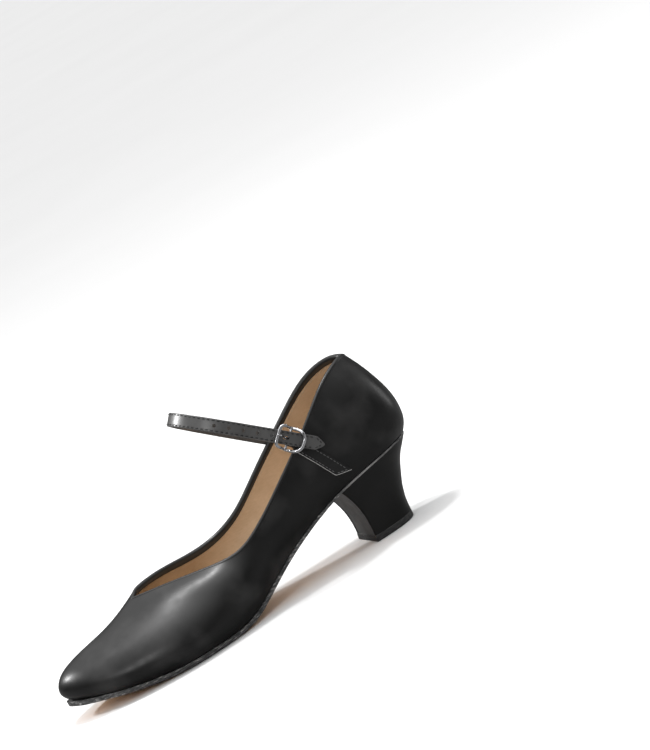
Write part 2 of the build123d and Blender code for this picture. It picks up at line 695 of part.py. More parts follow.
def strap_layer(inner, outer):
    """Layer of the strap between two offsets from its middle line, tip cut and punched."""
    with BuildPart() as layer:
        with BuildSketch(loop_plane):
            with BuildLine():
                band(in_loop_plane(loop_point(LOOP_STATIONS, inner)),
                     in_loop_plane(loop_point(LOOP_STATIONS[::-1], outer)))
            make_face()
        extrude(amount=strap_w / 2, both=True)
        with BuildSketch(tail_plane):
            with BuildLine():
                Polyline(*TIP, close=True)
            make_face()
        extrude(amount=60, mode=Mode.SUBTRACT)
        for k, s in enumerate(HOLE_STATIONS):
            with BuildSketch(hole_plane(s)):
                if k:
                    Circle(hole_r)
                else:            # the hole in use is a slot
                    SlotOverall(6.2, 2.3, rotation=90)
            extrude(amount=3, both=True, mode=Mode.SUBTRACT)
    return layer.part


save("ankle_strap", strap_layer(strap_half_t - strap_leather_t, strap_half_t))
save("strap_lining", strap_layer(-strap_half_t, -strap_half_t + strap_lining_t))

# sewn end of the strap on the outside of the medial quarter: x, distance forwards
ANCHOR = [(-30.75, -4.9), (-31.1, -9.0), (-31.9, -14.0), (-32.5, -19.0)]
anchor_lengths = path_lengths(ANCHOR)
anchor_mid = CubicCurve(anchor_lengths, ANCHOR)(np.linspace(0, anchor_lengths[-1], 9))
anchor_normals = left_normals(np.gradient(anchor_mid, axis=0))
with BuildPart() as strap_anchor:
    with BuildSketch(loop_plane):
        with BuildLine():
            band(in_loop_plane(anchor_mid - anchor_normals * 0.8),
                 in_loop_plane((anchor_mid + anchor_normals * 0.75)[::-1]))
        make_face()
    extrude(amount=strap_w / 2, both=True)
save("strap_anchor", strap_anchor.part)

# ================================================================ buckle
bar_n = 1.9              # height of the buckle bar over the quarter
bar_r = 0.7
frame_t = 1.6            # depth of the frame
frame_w = 1.9            # width of its band
frame_len, frame_across = 18.6, 15.2
end_n = 7.1              # height of both ends of the frame over the quarter
tab_len = 38.5
tab_w = 8.0
tab_t = 1.1
tab_lift = 0.25          # tab over the quarter
eye_inner_r = bar_r + 0.1
eye_outer_r = bar_r + 0.9

buckle_origin = Vector(quarter_x, buckle_y, buckle_z)    # on the quarter under the bar


def buckle_point(s, n):
    """Point at s down the tab and n out from the quarter."""
    return buckle_origin + tab_down * s + X_DIR * n


# side view: local x down the tab, local y away from the quarter
side_plane = Plane(origin=buckle_origin, x_dir=tab_down, z_dir=-bar_dir)
# plan view: local x down the tab, local y along the bar
plan_plane = Plane(origin=buckle_origin, x_dir=tab_down, z_dir=X_DIR)
# section across the bar
bar_plane = Plane(origin=buckle_point(0, bar_n), x_dir=X_DIR, z_dir=bar_dir)

QUARTER_GRID = upper.grid(np.linspace(0.06, 0.30, 241), np.linspace(0.3, 1.0, 141))


def quarter_height(s, w):
    """How far the quarter's outer face stands out at a place on the tab."""
    p = buckle_origin + tab_down * s + bar_dir * w
    distance = (QUARTER_GRID[:, :, 1] - p.Y) ** 2 + (QUARTER_GRID[:, :, 2] - p.Z) ** 2
    nearest = np.unravel_index(np.argmin(distance), distance.shape)
    return float(QUARTER_GRID[nearest][0]) - quarter_x


TAB_UNDER = [(s, max(quarter_height(s, w) for w in (-9, -6, -3, 0, 3)) + tab_lift)
             for s in np.linspace(8.0, tab_len, 7).tolist()]
TAB_OVER = [(s, n + tab_t) for s, n in TAB_UNDER]

# the sewn part of the tab turns down a little more than the buckle
tab_drop = math.radians(60.5)
sewn_down = Vector(0, math.cos(tab_drop), -math.sin(tab_drop))
sewn_across = Vector(0, math.sin(tab_drop), math.cos(tab_drop))


def sewn_point(t, w):
    """Place on the sewn part of the tab, in the plan plane."""
    p = sewn_down * t + sewn_across * w
    return (p.dot(tab_down), p.dot(bar_dir))


half_w = tab_w / 2
TAB_PLAN = [(-3.0, -half_w), (3.0, -half_w), sewn_point(7.0, -half_w),
            sewn_point(tab_len - 5.0, -half_w), sewn_point(tab_len + 1.5, half_w),
            sewn_point(6.0, half_w), (3.0, half_w), (-3.0, half_w)]
eye_low, eye_high = bar_n - eye_outer_r, bar_n + eye_outer_r

with BuildPart() as buckle_tab:
    with BuildSketch(side_plane):
        with BuildLine():
            Spline((0, eye_low), (3.5, eye_low + 0.02), *TAB_UNDER)
            Line(TAB_UNDER[-1], TAB_OVER[-1])
            Spline(*TAB_OVER[::-1], (4.0, eye_high - 1.0), (1.6, eye_high - 0.12),
                   (0, eye_high))
            ThreePointArc((0, eye_high), (-eye_outer_r, bar_n), (0, eye_low))
        make_face()
        circles([(0, bar_n)], eye_inner_r, mode=Mode.SUBTRACT)
    extrude(amount=20, both=True)
    with BuildSketch(plan_plane):
        with BuildLine():
            Polyline(*TAB_PLAN, close=True)
        make_face()
    extrude(amount=30, both=True, mode=Mode.INTERSECT)
    with BuildSketch(plan_plane):    # opening for the prong
        with Locations((-0.2, 0)):
            Rectangle(5.8, 2.5)
    extrude(amount=30, both=True, mode=Mode.SUBTRACT)
save("buckle_tab", buckle_tab.part)

# middle line of the frame in side view: distance down the tab, height over the quarter
BOW = [(-11.0, end_n), (-7.4, end_n - 0.05), (-5.2, 6.5), (-2.9, 4.0), (-1.2, bar_n + 0.3),
       (0.0, bar_n),
       (1.2, bar_n + 0.3), (2.9, 4.0), (5.2, 6.5), (7.4, end_n - 0.05), (11.0, end_n)]
bow_s = np.linspace(-11, 11, 45)
bow_mid = np.stack([bow_s, CubicCurve(*zip(*BOW))(bow_s)], 1)
bow_normals = left_normals(np.gradient(bow_mid, axis=0))
with BuildPart() as buckle_frame:
    with BuildSketch(side_plane):
        with BuildLine():
            band(pairs(bow_mid + bow_normals * frame_t / 2),
                 pairs((bow_mid - bow_normals * frame_t / 2)[::-1]))
        make_face()
    extrude(amount=10, both=True)
    # outer outline, then the opening: inset, upper and lower corner radii
    for inset, upper_r, lower_r, mode in ((0.0, 3.6, 6.4, Mode.INTERSECT),
                                          (frame_w, 2.0, 4.6, Mode.SUBTRACT)):
        with BuildSketch(plan_plane) as ring:
            Rectangle(frame_len - 2 * inset, frame_across - 2 * inset)
            fillet(ring.vertices().sort_by(Axis.X)[:2], upper_r)
            fillet(ring.vertices().sort_by(Axis.X)[-2:], lower_r)
        extrude(amount=30, both=True, mode=mode)
    with BuildSketch(bar_plane):
        Circle(bar_r + 0.03)
    extrude(amount=12, both=True, mode=Mode.SUBTRACT)
save("buckle_frame", buckle_frame.part)

with BuildPart() as buckle_bar:
    with BuildSketch(bar_plane):
        Circle(bar_r)
    extrude(amount=7.5, both=True)
save("buckle_bar", buckle_bar.part)

# middle line of the prong: distance down the tab, height over the quarter
BLADE = [(-0.3, bar_n + 1.0), (-2.4, bar_n + 2.4), (-4.6, bar_n + 3.9),
         (-6.9, end_n + 1.35), (-9.6, end_n + 1.6)]
with BuildPart() as buckle_prong:
    with BuildSketch(bar_plane):
        Circle(bar_r + 0.8)
    extrude(amount=0.85, both=True)
    with BuildLine() as arm:
        Spline(*[buckle_point(s, n) for s, n in BLADE])
    with BuildSketch(Plane(origin=arm.edge() @ 0, x_dir=bar_dir, z_dir=arm.edge() % 0)):
        Ellipse(0.75, 0.5)
    sweep(path=arm.wires()[0])
    with BuildSketch(bar_plane):
        Circle(bar_r + 0.06)
    extrude(amount=5, both=True, mode=Mode.SUBTRACT)
save("buckle_prong", buckle_prong.part)
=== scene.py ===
"""Left shoe with a mid-height heel and a buckled ankle strap.

Lengths are in mm and angles in radians unless noted; meshes are scaled to metres when made.
The toe points to -Y, the heel is at +Y, and Z is up from the ground. The lateral side, which
carries the buckle, is at +X and the medial side, where the strap is sewn on, at -X.
"""
import math

import bmesh
import bpy
import numpy as np
from mathutils import Matrix, Vector


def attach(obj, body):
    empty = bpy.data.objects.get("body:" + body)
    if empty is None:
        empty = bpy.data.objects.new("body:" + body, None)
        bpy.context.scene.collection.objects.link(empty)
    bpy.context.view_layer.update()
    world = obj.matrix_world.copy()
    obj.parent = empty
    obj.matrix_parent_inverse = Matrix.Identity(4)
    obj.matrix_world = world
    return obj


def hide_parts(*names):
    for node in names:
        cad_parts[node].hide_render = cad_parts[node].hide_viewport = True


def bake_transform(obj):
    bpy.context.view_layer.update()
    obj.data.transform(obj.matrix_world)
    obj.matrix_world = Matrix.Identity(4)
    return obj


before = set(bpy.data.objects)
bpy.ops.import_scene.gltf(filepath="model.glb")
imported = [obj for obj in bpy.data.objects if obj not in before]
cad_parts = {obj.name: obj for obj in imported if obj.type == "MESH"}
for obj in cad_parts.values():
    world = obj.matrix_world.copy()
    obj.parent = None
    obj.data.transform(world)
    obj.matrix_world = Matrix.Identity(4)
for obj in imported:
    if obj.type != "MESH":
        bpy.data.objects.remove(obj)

MM = 0.001
TAU = 2 * math.pi
SIDEWAYS = np.array([1.0, 0, 0])


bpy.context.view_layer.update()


# ================================================================ curves and vectors
def curvatures(t, y, periodic):
    """second derivatives of a cubic spline at its points, natural or periodic"""
    h = np.diff(t)
    count = len(t) - 1 if periodic else len(t)
    A = np.zeros((count, count))
    B = np.zeros((count,) + y.shape[1:])
    for i in range(count) if periodic else range(1, count - 1):
        before, after = h[i - 1], h[i]
        previous, following = (i - 1) % count, (i + 1) % count
        A[i, previous] += before
        A[i, i] += 2 * (before + after)
        A[i, following] += after
        B[i] = 6 * ((y[i + 1] - y[i]) / after - (y[i] - y[previous]) / before)
    if periodic:
        M = np.linalg.solve(A, B)
        return np.concatenate([M, M[:1]])
    A[0, 0] = A[-1, -1] = 1
    return np.linalg.solve(A, B)


class Spline:
    """cubic spline through values or points y at the parameters t"""

    def __init__(self, t, y, periodic=False):
        self.t = np.asarray(t, float)
        self.y = np.asarray(y, float)
        self.M = curvatures(self.t, self.y, periodic)
        self.periodic = periodic

    def __call__(self, x):
        t, y, M = self.t, self.y, self.M
        x = np.atleast_1d(np.asarray(x, float))
        if self.periodic:
            x = t[0] + np.mod(x - t[0], t[-1] - t[0])
        i = np.clip(np.searchsorted(t, x, side="right") - 1, 0, len(t) - 2)
        h = t[i + 1] - t[i]
        a = (t[i + 1] - x) / h
        b = (x - t[i]) / h
        if y.ndim > 1:
            a, b, h = a[:, None], b[:, None], h[:, None]
        bend = (a ** 3 - a) * M[i] + (b ** 3 - b) * M[i + 1]
        return a * y[i] + b * y[i + 1] + bend * h * h / 6


def monotone(t, y):
    """monotone (Fritsch-Carlson) cubic through the points, as a function of one number"""
    t = np.asarray(t, float)
    y = np.asarray(y, float)
    h = np.diff(t)
    d = np.diff(y) / h
    m = np.zeros(len(t))
    m[0], m[-1] = d[0], d[-1]
    for i in range(1, len(t) - 1):
        if d[i - 1] * d[i] > 0:
            w1 = 2 * h[i] + h[i - 1]
            w2 = h[i] + 2 * h[i - 1]
            m[i] = (w1 + w2) / (w1 / d[i - 1] + w2 / d[i])

    def curve(x):
        x = np.asarray(x, float)
        i = np.clip(np.searchsorted(t, x, side="right") - 1, 0, len(t) - 2)
        s = (x - t[i]) / h[i]
        return ((1 + 2 * s) * (1 - s) ** 2 * y[i] + s * (1 - s) ** 2 * h[i] * m[i]
                + s * s * (3 - 2 * s) * y[i + 1] + s * s * (s - 1) * h[i] * m[i + 1])
    return curve


def unit(v):
    return v / np.linalg.norm(v, axis=-1, keepdims=True)


def signed_power(v, power):
    return np.sign(v) * np.abs(v) ** power


def run_length(points):
    """distance along a path at each of its points"""
    steps = np.linalg.norm(np.diff(points, axis=0), axis=1)
    return np.concatenate([[0], np.cumsum(steps)])


def pick(points, lengths, places):
    """points of a path at the given distances along it"""
    return np.stack([np.interp(places, lengths, column) for column in points.T], 1)


def even(points, count):
    """the same path with evenly spaced points"""
    lengths = run_length(points)
    return pick(points, lengths, np.linspace(0, lengths[-1], count))


def path_sides(path, up):
    """unit vectors across a path and standing on it"""
    along = unit(np.gradient(path, axis=0))
    across = unit(np.cross(along, up))
    return across, np.cross(across, along)


def oval(centre, across, up, sides):
    """closed loop of points with the half axes across and up"""
    angles = (np.arange(sides) * TAU / sides)[:, None]
    return centre + across * np.cos(angles) + up * np.sin(angles)


# ================================================================ side profile of the bottom
# underside of the outsole: y, height
SOLE_PROFILE = [
    (-230, 13.6), (-218, 10.1), (-205, 6.75), (-190, 3.8), (-176, 1.7), (-164, 0.45),
    (-154, 0.0), (-140, 0.0), (-128, 0.0), (-118, 0.35), (-110, 1.5), (-102, 3.8), (-94, 7.3),
    (-84, 12.3), (-72, 18.4), (-58, 25.0), (-42, 31.7), (-24, 37.8), (-8, 41.2), (8, 43.7),
    (22, 45.4), (36, 46.9), (44, 47.8)]
# outsole thickness: y, thickness; full at the forepart, thin through the waist and heel
SOLE_THICKNESS = [(-230, 3.3), (-110, 3.3), (-75, 2.9), (-45, 2.3), (-10, 1.3), (44, 1.3)]
sole_z = monotone(*zip(*SOLE_PROFILE))
sole_thickness = monotone(*zip(*SOLE_THICKNESS))


def bed_z(y):
    """top face of the outsole, where the lasted upper sits"""
    return sole_z(y) + sole_thickness(y)


# ================================================================ outer face of the upper
# Each rib runs from the feather line (edge of the bottom) up to the topline. Its first
# point is x, y and lies just over the outsole; the others are x, y, z.
FOOT_LIFT = 0.15
RIB_ROWS = 15

LATERAL_RIBS = [      # back of the heel -> toe
    [(0, 35.3), (0, 38.2, 53.5), (0, 39.4, 60), (0, 39.6, 67), (0, 38.0, 76.5),
     (0, 35.4, 84.5), (0, 31.8, 93.5), (0, 26.0, 104.8)],
    [(14.5, 30.2), (16.6, 33.2, 53.5), (17.6, 34.6, 60), (17.6, 34.6, 67), (16.4, 32.9, 77),
     (14.6, 30.2, 86), (12.4, 26.8, 95), (9.2, 21.6, 106.2)],
    [(23.2, 15.5), (26.6, 17.5, 53), (28.2, 18.6, 60), (28.3, 18.5, 68), (26.8, 17.0, 78),
     (24.2, 14.8, 88), (21.2, 12.6, 96.5), (17.6, 10.2, 104.6)],
    [(25.6, -5), (29.6, -4.2, 52), (31.0, -3.6, 61), (30.8, -3.2, 70), (29.2, -3.4, 79),
     (26.6, -4.0, 88), (23.4, -5.0, 97.6)],
    [(24.6, -28), (29.2, -27, 47), (31.0, -26, 56), (31.2, -25.5, 65), (30.2, -25.2, 74),
     (28.0, -25.0, 84.0)],
    [(22.8, -55), (27.6, -54, 37), (30.0, -53, 46), (30.6, -52, 55), (29.8, -51.0, 66.6)],
    [(24.2, -79), (29.2, -78, 26), (31.6, -77, 34), (31.8, -76, 42), (30.8, -75.0, 51.6)],
    [(29.6, -100), (34.8, -99.5, 15), (36.6, -98.5, 23), (35.6, -97.5, 33),
     (31.8, -96.0, 43.2)],
    [(34.8, -119), (40.0, -119.5, 10.5), (41.0, -120, 19), (38.2, -119, 29),
     (32.4, -117, 37.5), (24.8, -113.5, 43.0)],
    [(37.6, -138), (42.6, -139, 9.5), (42.6, -140, 17), (38.6, -140, 26), (31.6, -138.5, 34),
     (23.0, -134.5, 41.0), (15.8, -130, 44.6)],
    [(36.4, -157), (41.0, -158.5, 9.8), (40.4, -160, 17), (35.6, -160, 25.5),
     (27.6, -157.5, 33.2), (17.6, -151, 40.6), (8.4, -142.5, 45.6)],
    [(30.0, -179), (33.6, -181.5, 11.0), (32.6, -183, 17.5), (28.2, -182.5, 25),
     (21.0, -178, 31.8), (11.4, -167, 38.8), (3.0, -151.5, 46.2)],
    [(17.8, -203.2), (20.2, -205.6, 14.4), (19.6, -206.4, 19.6), (16.5, -203.7, 26.0),
     (11.4, -196, 31.8), (5.4, -180, 37.2), (-0.6, -156.0, 46.4)]]
TOE_RIB = [
    (-6.5, -220.4), (-6.8, -222.6, 16.8), (-6.6, -223.1, 20.8), (-6.2, -219.2, 27.3),
    (-5.8, -208.5, 32.6), (-5.0, -187, 37.0), (-3.0, -158.2, 46.6)]
MEDIAL_RIBS = [       # toe -> heel; the last two ribs mirror lateral ones
    [(-23.2, -203.4), (-26.0, -205.6, 14.4), (-25.8, -206.4, 19.9), (-23.0, -202.9, 26.4),
     (-18.6, -195.5, 32.0), (-12.6, -180, 37.6), (-6.2, -156.4, 47.6)],
    [(-30.2, -179), (-34.4, -181, 11.2), (-34.0, -182.5, 18.0), (-30.4, -182, 25.6),
     (-24.2, -178, 32.2), (-16.8, -167, 40.0), (-10.6, -152.4, 49.0)],
    [(-34.6, -157), (-39.2, -158.5, 9.8), (-38.8, -159.5, 17.4), (-35.0, -159.5, 26),
     (-28.4, -157, 33.6), (-21.2, -151, 42.2), (-15.2, -143.0, 49.4)],
    [(-35.0, -138), (-39.8, -139, 9.6), (-40.0, -139.5, 17.2), (-36.8, -139.5, 26),
     (-31.0, -138, 34), (-25.6, -134.5, 42.6), (-20.6, -130, 48.6)],
    [(-32.0, -119), (-37.2, -119.5, 10.5), (-38.4, -119.5, 19), (-36.2, -118.5, 29),
     (-31.6, -116.5, 38.6), (-26.8, -113.5, 46.4)],
    [(-26.4, -100), (-32.0, -99.5, 15), (-34.6, -98.5, 23.4), (-34.2, -97.5, 33.6),
     (-31.0, -96.0, 45.8)],
    [(-20.6, -79), (-26.6, -78, 25.5), (-30.0, -77, 34), (-31.0, -76, 42),
     (-30.2, -75.0, 51.6)],
    [(-19.4, -55), (-25.4, -54, 36.6), (-29.0, -53, 46), (-30.2, -52, 55),
     (-29.6, -51.0, 66.6)],
    [(-22.6, -28), (-28.2, -27, 47), (-30.6, -26, 56), (-31.0, -25.5, 65),
     (-30.0, -25.2, 74), (-28.0, -25.0, 84.0)],
    [(-25.2, -5), (-29.4, -4.2, 52), (-30.9, -3.6, 61), (-30.8, -3.2, 70),
     (-29.2, -3.4, 79), (-26.6, -4.0, 88), (-23.4, -5.0, 97.6)]]
MEDIAL_RIBS += [[(-x, *rest) for x, *rest in LATERAL_RIBS[i]] for i in (2, 1)]


def even_rib(rib):
    """RIB_ROWS evenly spaced points on a smooth curve through a rib"""
    x, y = rib[0]
    points = np.array([(x, y, bed_z(y) + FOOT_LIFT)] + rib[1:], float)
    lengths = run_length(points)
    return even(Spline(lengths, points)(np.linspace(0, lengths[-1], 400)), RIB_ROWS)


class OuterFace:
    """outer face of the upper: u runs from the back seam (0) by the lateral side and the toe
    back to the seam (1), v up from the feather line (0) to the topline (1)"""

    def __init__(self):
        ribs = np.array([even_rib(r) for r in LATERAL_RIBS + [TOE_RIB] + MEDIAL_RIBS])
        ribs = np.concatenate([ribs, ribs[:1]])
        middle = (ribs[:, 0] + ribs[:, RIB_ROWS // 2]) / 2
        gaps = np.sqrt(np.linalg.norm(np.diff(middle, axis=0), axis=1))
        t = np.concatenate([[0], np.cumsum(gaps)])
        self.rib_u = t / t[-1]
        self.around = Spline(self.rib_u, ribs.reshape(len(ribs), -1), True)

    def grid(self, u, v):
        """points indexed u, v"""
        rows = self.around(u).reshape(len(u), RIB_ROWS, 3)
        rows = rows.transpose(1, 0, 2).reshape(RIB_ROWS, -1)
        up = Spline(np.linspace(0, 1, RIB_ROWS), rows)
        return up(v).reshape(len(v), len(u), 3).transpose(1, 0, 2)

    def normals(self, u, v, step=2e-3):
        """unit normals that point to the inside of the shoe"""
        u, v = np.asarray(u, float), np.asarray(v, float)
        du = self.grid(u + step, v) - self.grid(u - step, v)
        dv = self.grid(u, v + step) - self.grid(u, v - step)
        return unit(np.cross(du, dv))

    def offset(self, u, v, depth):
        return self.grid(u, v) + self.normals(u, v) * depth

    def feather(self, u, inset):
        """plan outline of the bottom, moved inwards by inset"""
        plan = self.grid(u, np.array([0.0]))[:, 0, :2]
        along = unit(np.roll(plan, -1, 0) - np.roll(plan, 1, 0))
        return plan + np.stack([along[:, 1], -along[:, 0]], 1) * inset


face = OuterFace()


# ================================================================ mesh helpers
def rings(rows, closed=False):
    """points and faces of a skin over closed loops; capped unless the last loop meets the first"""
    rows = np.asarray(rows, float)
    count, size = rows.shape[:2]
    faces = []
    for i in range(count if closed else count - 1):
        a, b = i * size, ((i + 1) % count) * size
        for j in range(size):
            k = (j + 1) % size
            faces.append((a + j, a + k, b + k, b + j))
    if not closed:
        faces.append(tuple(range(size))[::-1])
        faces.append(tuple((count - 1) * size + j for j in range(size)))
    return rows.reshape(-1, 3), faces


def mark_sharp(part, angle):
    """edges that bend by the angle (degrees) or more are shaded sharp"""
    bm = bmesh.new()
    bm.from_mesh(part.data)
    limit = math.radians(angle)
    for e in bm.edges:
        if len(e.link_faces) == 2:
            e.smooth = e.calc_face_angle(0) < limit
    bm.to_mesh(part.data)
    bm.free()


def make(name, shells, material, body="shoe", angle=None):
    """one object from a list of (points, faces), riding on a body of the frame"""
    faces, start = [], 0
    for points, shell_faces in shells:
        faces += [[i + start for i in f] for f in shell_faces]
        start += len(points)
    points = np.concatenate([shell[0] for shell in shells])
    mesh = bpy.data.meshes.new(name)
    mesh.from_pydata((points * MM).tolist(), [], faces)
    mesh.update()
    bm = bmesh.new()
    bm.from_mesh(mesh)
    bmesh.ops.remove_doubles(bm, verts=bm.verts, dist=1e-6)
    bmesh.ops.recalc_face_normals(bm, faces=bm.faces)
    bm.to_mesh(mesh)
    bm.free()
    part = bpy.data.objects.new(name, mesh)
    bpy.context.scene.collection.objects.link(part)
    for polygon in mesh.polygons:
        polygon.use_smooth = True
    if material:
        mesh.materials.append(material)
    if angle:
        mark_sharp(part, angle)
    if body:
        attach(part, body)
    return part


def loft(name, rows, material, body="shoe", angle=None, closed=False):
    return make(name, [rings(rows, closed)], material, body, angle)


def assign(part, slot, *nodes):
    """hide the frame nodes that a part stands in for; part and slot are not used"""
    if nodes:
        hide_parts(*nodes)


# shape of a thread loop: share of its length, share of its radius
THREAD_SHAPE = [(0.0, 0.25), (0.08, 0.75), (0.3, 1.0), (0.7, 1.0), (0.92, 0.75), (1.0, 0.25)]


def thread(start, end, radius, lift):
    """skin of one thread loop, its middle raised along lift"""
    along = unit(end - start)
    other = SIDEWAYS if abs(along[0]) < 0.9 else np.array([0, 1.0, 0])
    across = unit(np.cross(along, other))
    up = np.cross(along, across)
    rows = []
    for s, share in THREAD_SHAPE:
        centre = start + (end - start) * s + lift * (math.sin(math.pi * s) - 0.25)
        rows.append(oval(centre, across * radius * share, up * radius * share, 7))
    return rings(rows)


def stitches(path, normals, pitch, length, radius, start=0.6, lift=0.16):
    """skins of a row of thread loops along a path, standing along the normals"""
    path = np.asarray(path, float)
    normals = np.broadcast_to(np.asarray(normals, float), path.shape)
    lengths = run_length(path)
    skins = []
    s = start
    while s + length < lengths[-1]:
        a, b = pick(path, lengths, [s, s + length])
        normal = unit(pick(normals, lengths, [s + length / 2])[0])
        skins.append(thread(a, b, radius, normal * lift))
        s += pitch
    return skins


def hole_cutter(centre, axis, along, radii, depth, sides):
    """oval cylinder for cutting; radii are along and across, depth is the span on the axis"""
    axis = unit(np.asarray(axis, float))
    along = unit(along - axis * (along @ axis))
    across = np.cross(axis, along)
    rows = [oval(centre + axis * z, along * radii[0], across * radii[1], sides) for z in depth]
    return loft("cutter", rows, None, None)


def cut(part, cutters):
    """boolean difference applied to the mesh"""
    for cutter in cutters:
        modifier = part.modifiers.new("cut", "BOOLEAN")
        modifier.operation = "DIFFERENCE"
        modifier.solver = "EXACT"
        modifier.object = cutter
    bpy.context.view_layer.update()
    graph = bpy.context.evaluated_depsgraph_get()
    mesh = bpy.data.meshes.new_from_object(part.evaluated_get(graph))
    part.modifiers.clear()
    old = part.data
    part.data = mesh
    bpy.data.meshes.remove(old)
    for cutter in cutters:
        bpy.data.objects.remove(cutter, do_unlink=True)
    for polygon in mesh.polygons:
        polygon.use_smooth = True
    mark_sharp(part, 40)


def add_attribute(part, name, values):
    attribute = part.data.attributes.new(name, "FLOAT", "POINT")
    attribute.data.foreach_set("value", np.asarray(values, np.float32))


def coordinates(part):
    values = np.zeros(len(part.data.vertices) * 3)
    part.data.vertices.foreach_get("co", values)
    return values.reshape(-1, 3) / MM


# ================================================================ materials
class Shader:
    """adds nodes to the node tree of a material or world"""

    def __init__(self, owner):
        owner.use_nodes = True
        self.tree = owner.node_tree

    def feed(self, node, inputs):
        """link sockets and set values by input name or number; None leaves an input alone"""
        for key, value in inputs.items():
            socket = node.inputs[key]
            if isinstance(value, bpy.types.NodeSocket):
                self.tree.links.new(value, socket)
            elif value is not None:
                socket.default_value = (*value, 1) if socket.type == "RGBA" else value

    def node(self, kind, inputs={}, **settings):
        node = self.tree.nodes.new("ShaderNode" + kind)
        for key, value in settings.items():
            setattr(node, key, value)
        self.feed(node, inputs)
        return node

    def mapped(self, stretch=(1, 1, 1), turn=(0, 0, 0)):
        place = self.node("TexCoord").outputs["Object"]
        inputs = {"Vector": place, "Scale": stretch, "Rotation": turn}
        return self.node("Mapping", inputs).outputs["Vector"]

    def noise(self, scale, detail=4.0, rough=0.5, stretch=(1, 1, 1)):
        inputs = {"Scale": scale, "Detail": detail, "Roughness": rough,
                  "Vector": self.mapped(stretch)}
        return self.node("TexNoise", inputs).outputs["Fac"]

    def cells(self, scale):
        inputs = {"Scale": scale, "Vector": self.mapped()}
        return self.node("TexVoronoi", inputs).outputs["Distance"]

    def wave(self, scale, turn):
        inputs = {"Scale": scale, "Distortion": 0.3, "Detail": 0,
                  "Vector": self.mapped(turn=turn)}
        return self.node("TexWave", inputs).outputs["Fac"]

    def ramp(self, factor, stops):
        """stops are (place, colour)"""
        node = self.node("ValToRGB", {"Fac": factor})
        elements = node.color_ramp.elements
        for i, (place, color) in ((0, stops[0]), (1, stops[-1])):
            elements[i].position, elements[i].color = place, (*color, 1)
        for place, color in stops[1:-1]:
            elements.new(place).color = (*color, 1)
        return node.outputs["Color"]

    def remap(self, value, source, target=(0.0, 1.0)):
        inputs = {"Value": value, "From Min": source[0], "From Max": source[1],
                  "To Min": target[0], "To Max": target[1]}
        return self.node("MapRange", inputs).outputs["Result"]

    def bump(self, height, strength, distance, normal=None):
        inputs = {"Strength": strength, "Distance": distance, "Height": height,
                  "Normal": normal}
        return self.node("Bump", inputs).outputs["Normal"]

    def mix(self, factor, a, b):
        """colour mix"""
        return self.node("Mix", {"Factor": factor, 6: a, 7: b}, data_type="RGBA").outputs[2]

    def mix_value(self, factor, a, b):
        return self.node("Mix", {"Factor": factor, 2: a, 3: b}).outputs[0]

    def math(self, operation, a, b):
        return self.node("Math", {0: a, 1: b}, operation=operation).outputs[0]

    def attribute(self, name):
        return self.node("Attribute", attribute_name=name).outputs["Fac"]

    def surface(self, color, rough, normal=None, extra={}):
        inputs = {"Base Color": color, "Roughness": rough, "Normal": normal, **extra}
        self.feed(self.tree.nodes["Principled BSDF"], inputs)


def new_material(name):
    material = bpy.data.materials.new(name)
    return material, Shader(material)


def shade(color, factor):
    return tuple(c * factor for c in color)


def black_leather(name, rough=0.36, base=0.008, coat=0.07, spec=0.36, painted_sheen=0.0):
    """polished black; the optional grey makes soft patches of painted sheen in the base colour"""
    material, sh = new_material(name)
    pores = sh.cells(scale=2340.0)
    fine = sh.noise(scale=1500, detail=5, rough=0.6)
    color = sh.ramp(sh.noise(scale=45, detail=3),
                    [(0.3, (base * 0.8,) * 3), (0.7, (base * 1.35, base * 1.32, base * 1.3))])
    # painted sheen: soft lighter patches mixed into the base colour
    if painted_sheen:
        sheen_patch = sh.remap(sh.noise(scale=34, detail=3), source=(0.48, 0.70))
        color = sh.mix(sheen_patch, color, (painted_sheen, painted_sheen * 0.98, painted_sheen * 0.97))
    gloss = sh.remap(sh.noise(scale=160), source=(0.3, 0.7), target=(rough - 0.04, rough + 0.06))
    normal = sh.bump(sh.noise(scale=28, detail=2), strength=0.12, distance=0.0012)
    normal = sh.bump(fine, strength=0.10, distance=0.00012, normal=normal)
    normal = sh.bump(pores, strength=0.10, distance=0.00010, normal=normal)
    sh.surface(color, gloss, normal, {"Specular IOR Level": spec, "Coat Weight": coat,
                                      "Coat Roughness": 0.22})
    return material


def tan_leather(name, light, dark, rough, scale):
    material, sh = new_material(name)
    color = sh.ramp(sh.noise(scale=60 * scale, detail=6, rough=0.6),
                    [(0.25, dark), (0.75, light)])
    fibre = sh.noise(scale=900 * scale, rough=0.7, stretch=(1.0, 0.25, 1.0))
    streaks = sh.remap(fibre, source=(0.35, 0.7), target=(0.0, 0.25))
    color = sh.mix(streaks, color, shade(dark, 0.72))
    gloss = sh.remap(fibre, source=(0.3, 0.7), target=(rough - 0.08, rough + 0.1))
    normal = sh.bump(fibre, strength=0.25, distance=0.00012)
    normal = sh.bump(sh.cells(scale=1900 * scale), strength=0.15, distance=0.00012,
                     normal=normal)
    sh.surface(color, gloss, normal)
    return material


